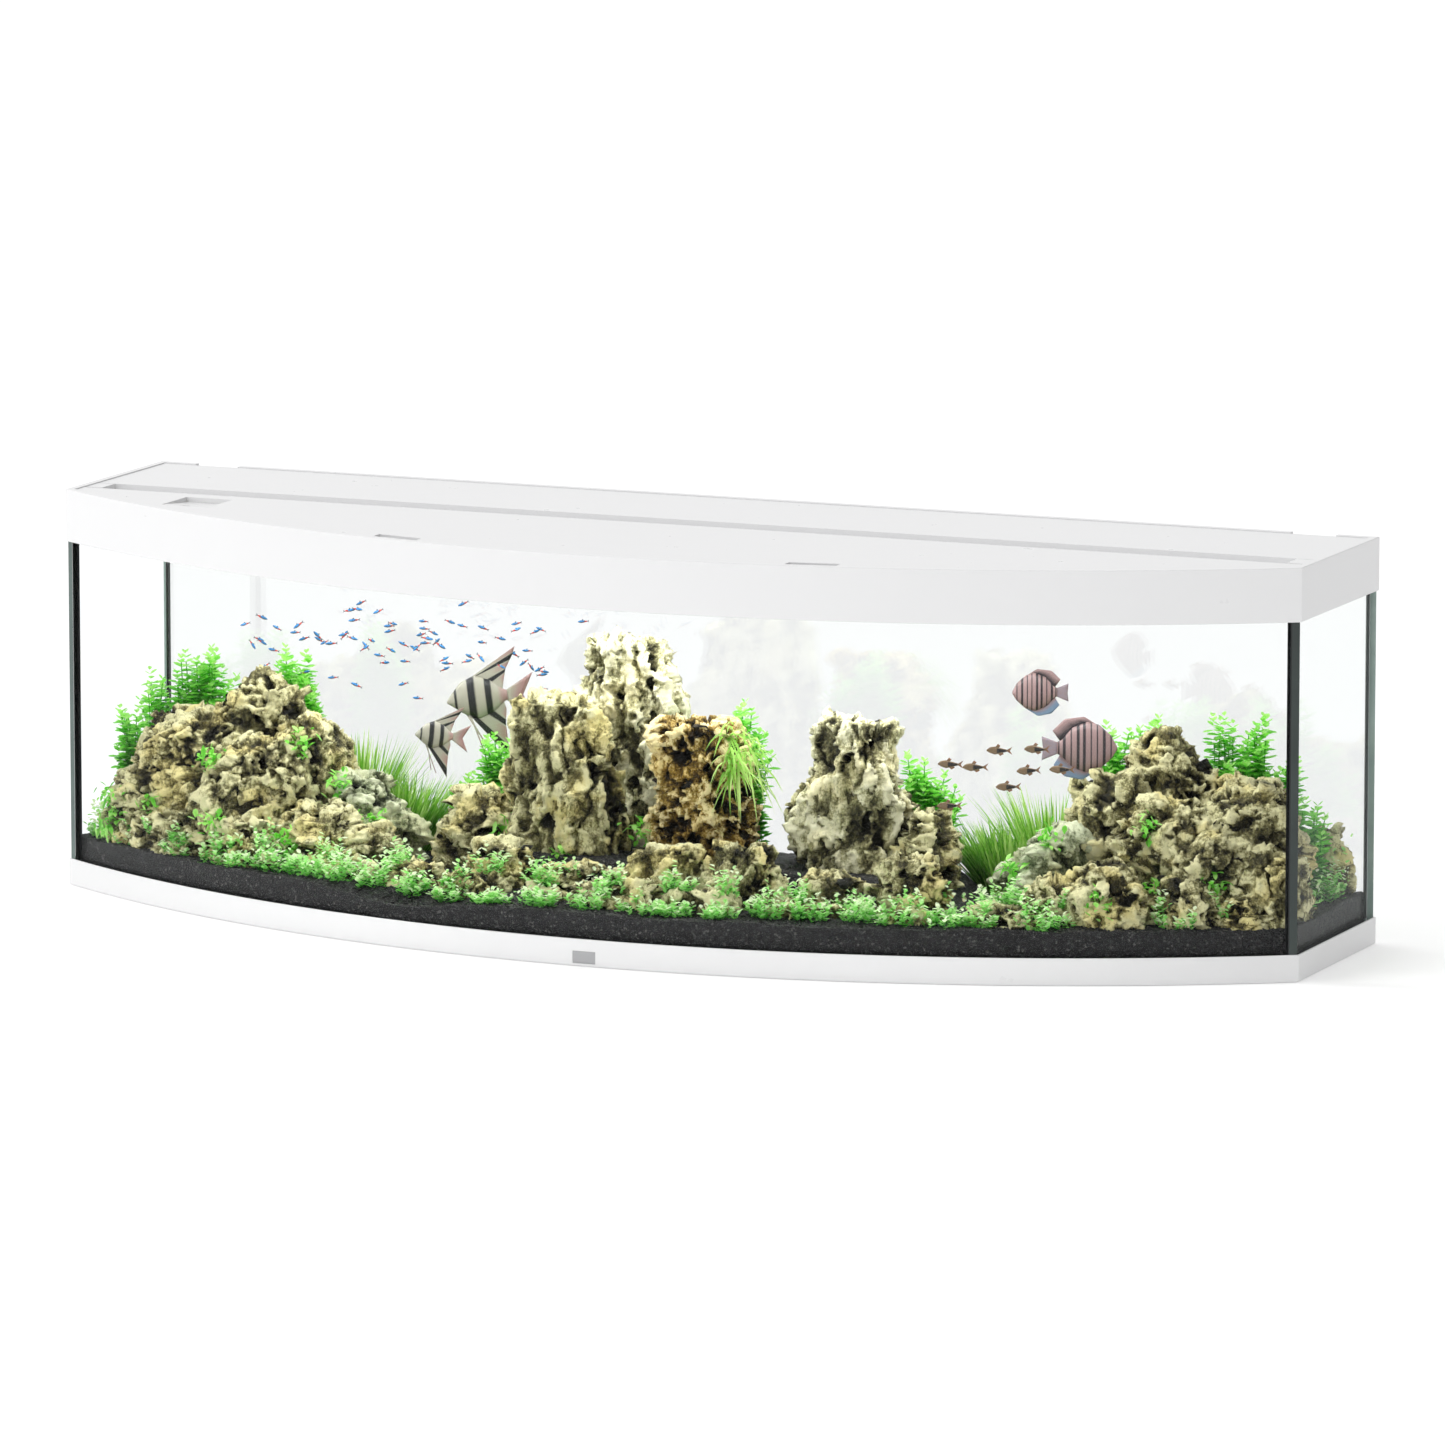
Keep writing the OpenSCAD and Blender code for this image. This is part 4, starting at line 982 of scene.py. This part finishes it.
def fish_fin(root, edge, tone, columns=8, rows=4, stripes=None):
    """A thin closed fin between its root line and its outer edge, both as (share of length, height) points."""
    def along(line):
        line = np.array(line, float)
        t = np.linspace(0, len(line) - 1, columns + 1)
        return np.stack([np.interp(t, range(len(line)), line[:, i]) for i in (0, 1)], 1)
    a, b = along(root), along(edge)
    points, faces, values = [], [], []
    for face in (1, -1):
        for j in range(rows + 1):
            share = j / rows
            for place, start in zip(a + (b - a) * share, a):
                points.append((-place[0], face * 0.010 * (1 - 0.8 * share), place[1]))
                plain = tone[0] + (tone[1] - tone[0]) * share
                values.append(plain if stripes is None else min(plain, 2.2 * stripes(start[0], 0)))
    w = columns + 1
    layer = w * (rows + 1)
    for j in range(rows):
        for k in range(columns):
            q = [j * w + k, j * w + k + 1, (j + 1) * w + k + 1, (j + 1) * w + k]
            faces.append(q)
            faces.append([i + layer for i in q[::-1]])
    rim = ([k for k in range(w)] + [j * w + columns for j in range(1, rows + 1)]
           + [rows * w + k for k in range(columns - 1, -1, -1)] + [j * w for j in range(rows - 1, 0, -1)])
    for k in range(len(rim)):
        a0, b0 = rim[k], rim[(k + 1) % len(rim)]
        faces.append([b0, a0, a0 + layer, b0 + layer])
    return np.array(points), faces, np.array(values)


def swimming(parts, length, nose, heading, climb=0.0):
    """The fish at its real length with its mouth at the nose point, turned to its heading."""
    points, faces, values = joined(parts)
    points = points * length
    c, s = math.cos(climb), math.sin(climb)
    x, z = points[:, 0] * c - points[:, 2] * s, points[:, 0] * s + points[:, 2] * c
    h, g = math.cos(heading), math.sin(heading)
    return np.stack([x * h - points[:, 1] * g, x * g + points[:, 1] * h, z], 1) + nose, faces, values


def place_fish(name, parts, material):
    points, faces, values = joined(parts)
    obj = make_object(name, points, faces, material)
    set_attribute(obj, "tone", values)
    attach(obj, "tank")


def bars(at, width):
    """Dark upright bars at shares of the body's length."""
    return lambda s, up: 0.0 if min(abs(s - b) for b in at) < width else 0.5


def neon(s, up):
    if up > -0.2 and s < 0.75:
        return 0.0
    return 1.0 if s > 0.45 else 0.5


def angel_stripes(s, up):
    """A fine bar through the eye, two broad ones, and a warm rear edge."""
    bar = max(smoothstep(1.6, 0.8, abs(s - at) / width) for at, width in ((0.15, 0.025), (0.42, 0.05), (0.69, 0.045)))
    return (1 - bar) * (0.42 + 0.4 * smoothstep(0.72, 0.95, s))


ANGEL_BARS = angel_stripes
ANGELFISH = [
    fish_body([(0, 0, 0.02), (0.08, 0.02, 0.10), (0.25, 0.04, 0.26), (0.5, 0.03, 0.37), (0.75, 0.02, 0.27),
               (0.92, 0.01, 0.12), (1, 0.01, 0.08)], 0.10, ANGEL_BARS, rings=28, around=14),
    fish_fin([(0.24, 0.26), (0.5, 0.37), (0.93, 0.10)], [(1.22, 0.80), (1.16, 0.66), (1.02, 0.44), (0.97, 0.26)],
             (0.5, 0.85), columns=24, rows=8, stripes=ANGEL_BARS),
    fish_fin([(0.36, -0.28), (0.55, -0.32), (0.93, -0.08)], [(0.94, -1.08), (0.92, -0.80), (0.92, -0.45), (0.96, -0.22)],
             (0.5, 0.85), columns=24, rows=8, stripes=ANGEL_BARS),
    fish_fin([(0.28, -0.22), (0.33, -0.25)], [(0.64, -0.98), (0.66, -0.98)], (0.5, 0.9)),
    fish_fin([(0.34, -0.25), (0.37, -0.26)], [(0.50, -0.90), (0.52, -0.90)], (0.5, 0.9)),
    fish_fin([(0.98, -0.08), (0.98, 0.09)], [(1.42, -0.38), (1.26, -0.02), (1.46, 0.34)], (0.6, 0.95))]
DISCUS_BARS = bars((0.1, 0.22, 0.33, 0.44, 0.55, 0.66, 0.77, 0.88, 0.97), 0.021)
DISCUS = [
    fish_body([(0, 0, 0.03), (0.1, 0.02, 0.2), (0.3, 0.02, 0.38), (0.5, 0.02, 0.44), (0.75, 0.02, 0.34),
               (0.92, 0.01, 0.15), (1, 0.01, 0.1)], 0.13, DISCUS_BARS, rings=40, around=16),
    fish_fin([(0.25, 0.33), (0.55, 0.43), (0.95, 0.12)], [(0.30, 0.38), (0.55, 0.54), (0.88, 0.50), (1.08, 0.30)],
             (0.02, 0.40), columns=20, rows=6),
    fish_fin([(0.30, -0.33), (0.55, -0.39), (0.95, -0.10)], [(0.34, -0.38), (0.58, -0.53), (0.88, -0.47), (1.06, -0.28)],
             (0.6, 1.0), columns=20, rows=6),
    fish_fin([(0.98, -0.08), (0.98, 0.1)], [(1.26, -0.20), (1.24, 0.0), (1.26, 0.21)], (0.7, 0.7))]
TETRA = [
    fish_body([(0, 0, 0.03), (0.15, 0.01, 0.11), (0.4, 0, 0.15), (0.7, 0, 0.11), (1, 0, 0.045)], 0.07, neon,
              rings=10, around=8),
    fish_fin([(0.99, -0.03), (0.99, 0.03)], [(1.22, -0.14), (1.12, 0.0), (1.22, 0.14)], (0.5, 0.5), columns=4, rows=2),
    fish_fin([(0.42, 0.13), (0.55, 0.12)], [(0.52, 0.26), (0.62, 0.20)], (0.5, 0.5), columns=3, rows=2)]
RASBORA = [
    fish_body([(0, 0, 0.03), (0.15, 0.02, 0.14), (0.4, 0, 0.20), (0.7, 0, 0.13), (1, 0, 0.05)], 0.08,
              lambda s, up: 0.0 if 0.5 < s < 0.96 and abs(up) < 0.85 - 0.7 * (s - 0.5) else 0.5),
    fish_fin([(0.99, -0.04), (0.99, 0.04)], [(1.26, -0.20), (1.13, 0.0), (1.26, 0.20)], (0.6, 0.9)),
    fish_fin([(0.42, 0.18), (0.6, 0.15)], [(0.55, 0.33), (0.68, 0.24)], (0.6, 0.9)),
    fish_fin([(0.55, -0.15), (0.78, -0.09)], [(0.66, -0.26), (0.84, -0.17)], (0.6, 0.9))]
RIGHT_WAY = 0.41
LEFT_WAY = RIGHT_WAY + math.pi

place_fish("angelfish", [swimming(ANGELFISH, 0.092, (-0.416, 0.10, 0.302), LEFT_WAY, -0.12),
                         swimming(ANGELFISH, 0.058, (-0.423, 0.00, 0.268), LEFT_WAY + 0.2, 0.1)],
           fish_finish("angelfish_scales", (0.010, 0.011, 0.013), (0.38, 0.37, 0.30), (0.36, 0.22, 0.21)))
place_fish("discus", [swimming(DISCUS, 0.066, (0.504, 0.10, 0.377), LEFT_WAY),
                      swimming(DISCUS, 0.088, (0.686, 0.06, 0.312), RIGHT_WAY)],
           fish_finish("discus_scales", (0.020, 0.016, 0.020), (0.30, 0.20, 0.195), (0.17, 0.25, 0.36)))
shoal = []
rng = random.Random(12)
while len(shoal) < 80:
    x, y, z = rng.gauss(-0.46, 0.17), rng.uniform(0.03, 0.22), rng.gauss(0.375, 0.032)
    if -0.80 < x < -0.14 and 0.30 < z < 0.45:
        heading = (LEFT_WAY if rng.random() < 0.6 else RIGHT_WAY) + rng.gauss(0, 0.35)
        shoal.append(swimming(TETRA, rng.uniform(0.0135, 0.0165), (x, y, z), heading, rng.gauss(0, 0.4)))
place_fish("neon_tetras", shoal,
           fish_finish("tetra_scales", (0.02, 0.19, 0.46), (0.10, 0.12, 0.14), (0.48, 0.025, 0.015)))
group = []
for x, z in ((0.563, 0.327), (0.609, 0.327), (0.478, 0.298), (0.522, 0.298), (0.610, 0.299), (0.654, 0.302),
             (0.570, 0.270), (0.485, 0.239)):
    group.append(swimming(RASBORA, 0.030, (x - 0.014, -0.10 + rng.uniform(-0.02, 0.02), z), LEFT_WAY + rng.gauss(0, 0.15)))
place_fish("rasboras", group,
           fish_finish("rasbora_scales", (0.012, 0.010, 0.010), (0.19, 0.125, 0.065), (0.26, 0.12, 0.06)))


# ---- Camera, floor and light ----

def build_camera():
    camera = bpy.data.objects.new("camera", bpy.data.cameras.new("camera"))
    scene.collection.objects.link(camera)
    camera.data.sensor_width = 36
    camera.data.lens = 264.3
    camera.data.clip_end = 200
    camera.location = (6.2306, -14.2751, 2.9323)
    aim = Vector((0.0808, 0.0, 0.3197)) - camera.location
    turn = aim.to_track_quat("-Z", "Y").to_matrix().to_4x4()
    camera.rotation_euler = turn.to_euler()
    scene.camera = camera


def build_studio():
    n = Nodes("pale_floor")
    tone = n.ramp(n.noise(0.6), [(0.3, (0.87, 0.87, 0.87)), (0.7, (0.88, 0.88, 0.88))])
    shader = n.shade(tone, n.span(n.noise(3.0), 0.8, 0.9), **{"Specular IOR Level": 0.1})
    shader.inputs["Emission Color"].default_value = (1, 1, 1, 1)
    shader.inputs["Emission Strength"].default_value = 0.23
    reach = 60
    floor = make_object("floor", [(-reach, -reach, -0.001), (reach, -reach, -0.001), (reach, reach, -0.001),
                                  (-reach, reach, -0.001)], [(0, 1, 2, 3)], n.material)
    world = bpy.data.worlds.new("studio")
    world.use_nodes = True
    tree = world.node_tree
    lean = tree.nodes.new("ShaderNodeVectorMath")
    lean.operation = "DOT_PRODUCT"
    lean.inputs[1].default_value = (-0.59, -0.15, 0.0)
    level = tree.nodes.new("ShaderNodeMath")
    level.inputs[1].default_value = 0.93
    tree.links.new(tree.nodes.new("ShaderNodeTexCoord").outputs["Generated"], lean.inputs[0])
    tree.links.new(lean.outputs["Value"], level.inputs[0])
    tree.links.new(level.outputs[0], tree.nodes["Background"].inputs["Strength"])
    tree.nodes["Background"].inputs["Color"].default_value = (1, 1, 1, 1)
    scene.world = world
    lamps = [("key", (-3.0, -3.6, 6.5), (0.0, 0.0, 0.3), 3.0, 3.0, 60),
             ("tank_light_front", (0.0, -0.05, 0.545), (0.0, -0.10, 0.0), 1.6, 0.05, 5.0),
             ("tank_light_rear", (0.0, 0.215, 0.545), (0.0, 0.17, 0.0), 1.8, 0.05, 2.5)]
    for name, place, aim, width, depth, power in lamps:
        lamp = bpy.data.objects.new(name, bpy.data.lights.new(name, "AREA"))
        lamp.data.shape = "RECTANGLE"
        lamp.data.size = width
        lamp.data.size_y = depth
        lamp.data.energy = power
        lamp.location = place
        lamp.rotation_euler = (Vector(aim) - Vector(place)).to_track_quat("-Z", "Y").to_euler()
        scene.collection.objects.link(lamp)
    scene.view_settings.view_transform = "Standard"


build_camera()
build_studio()
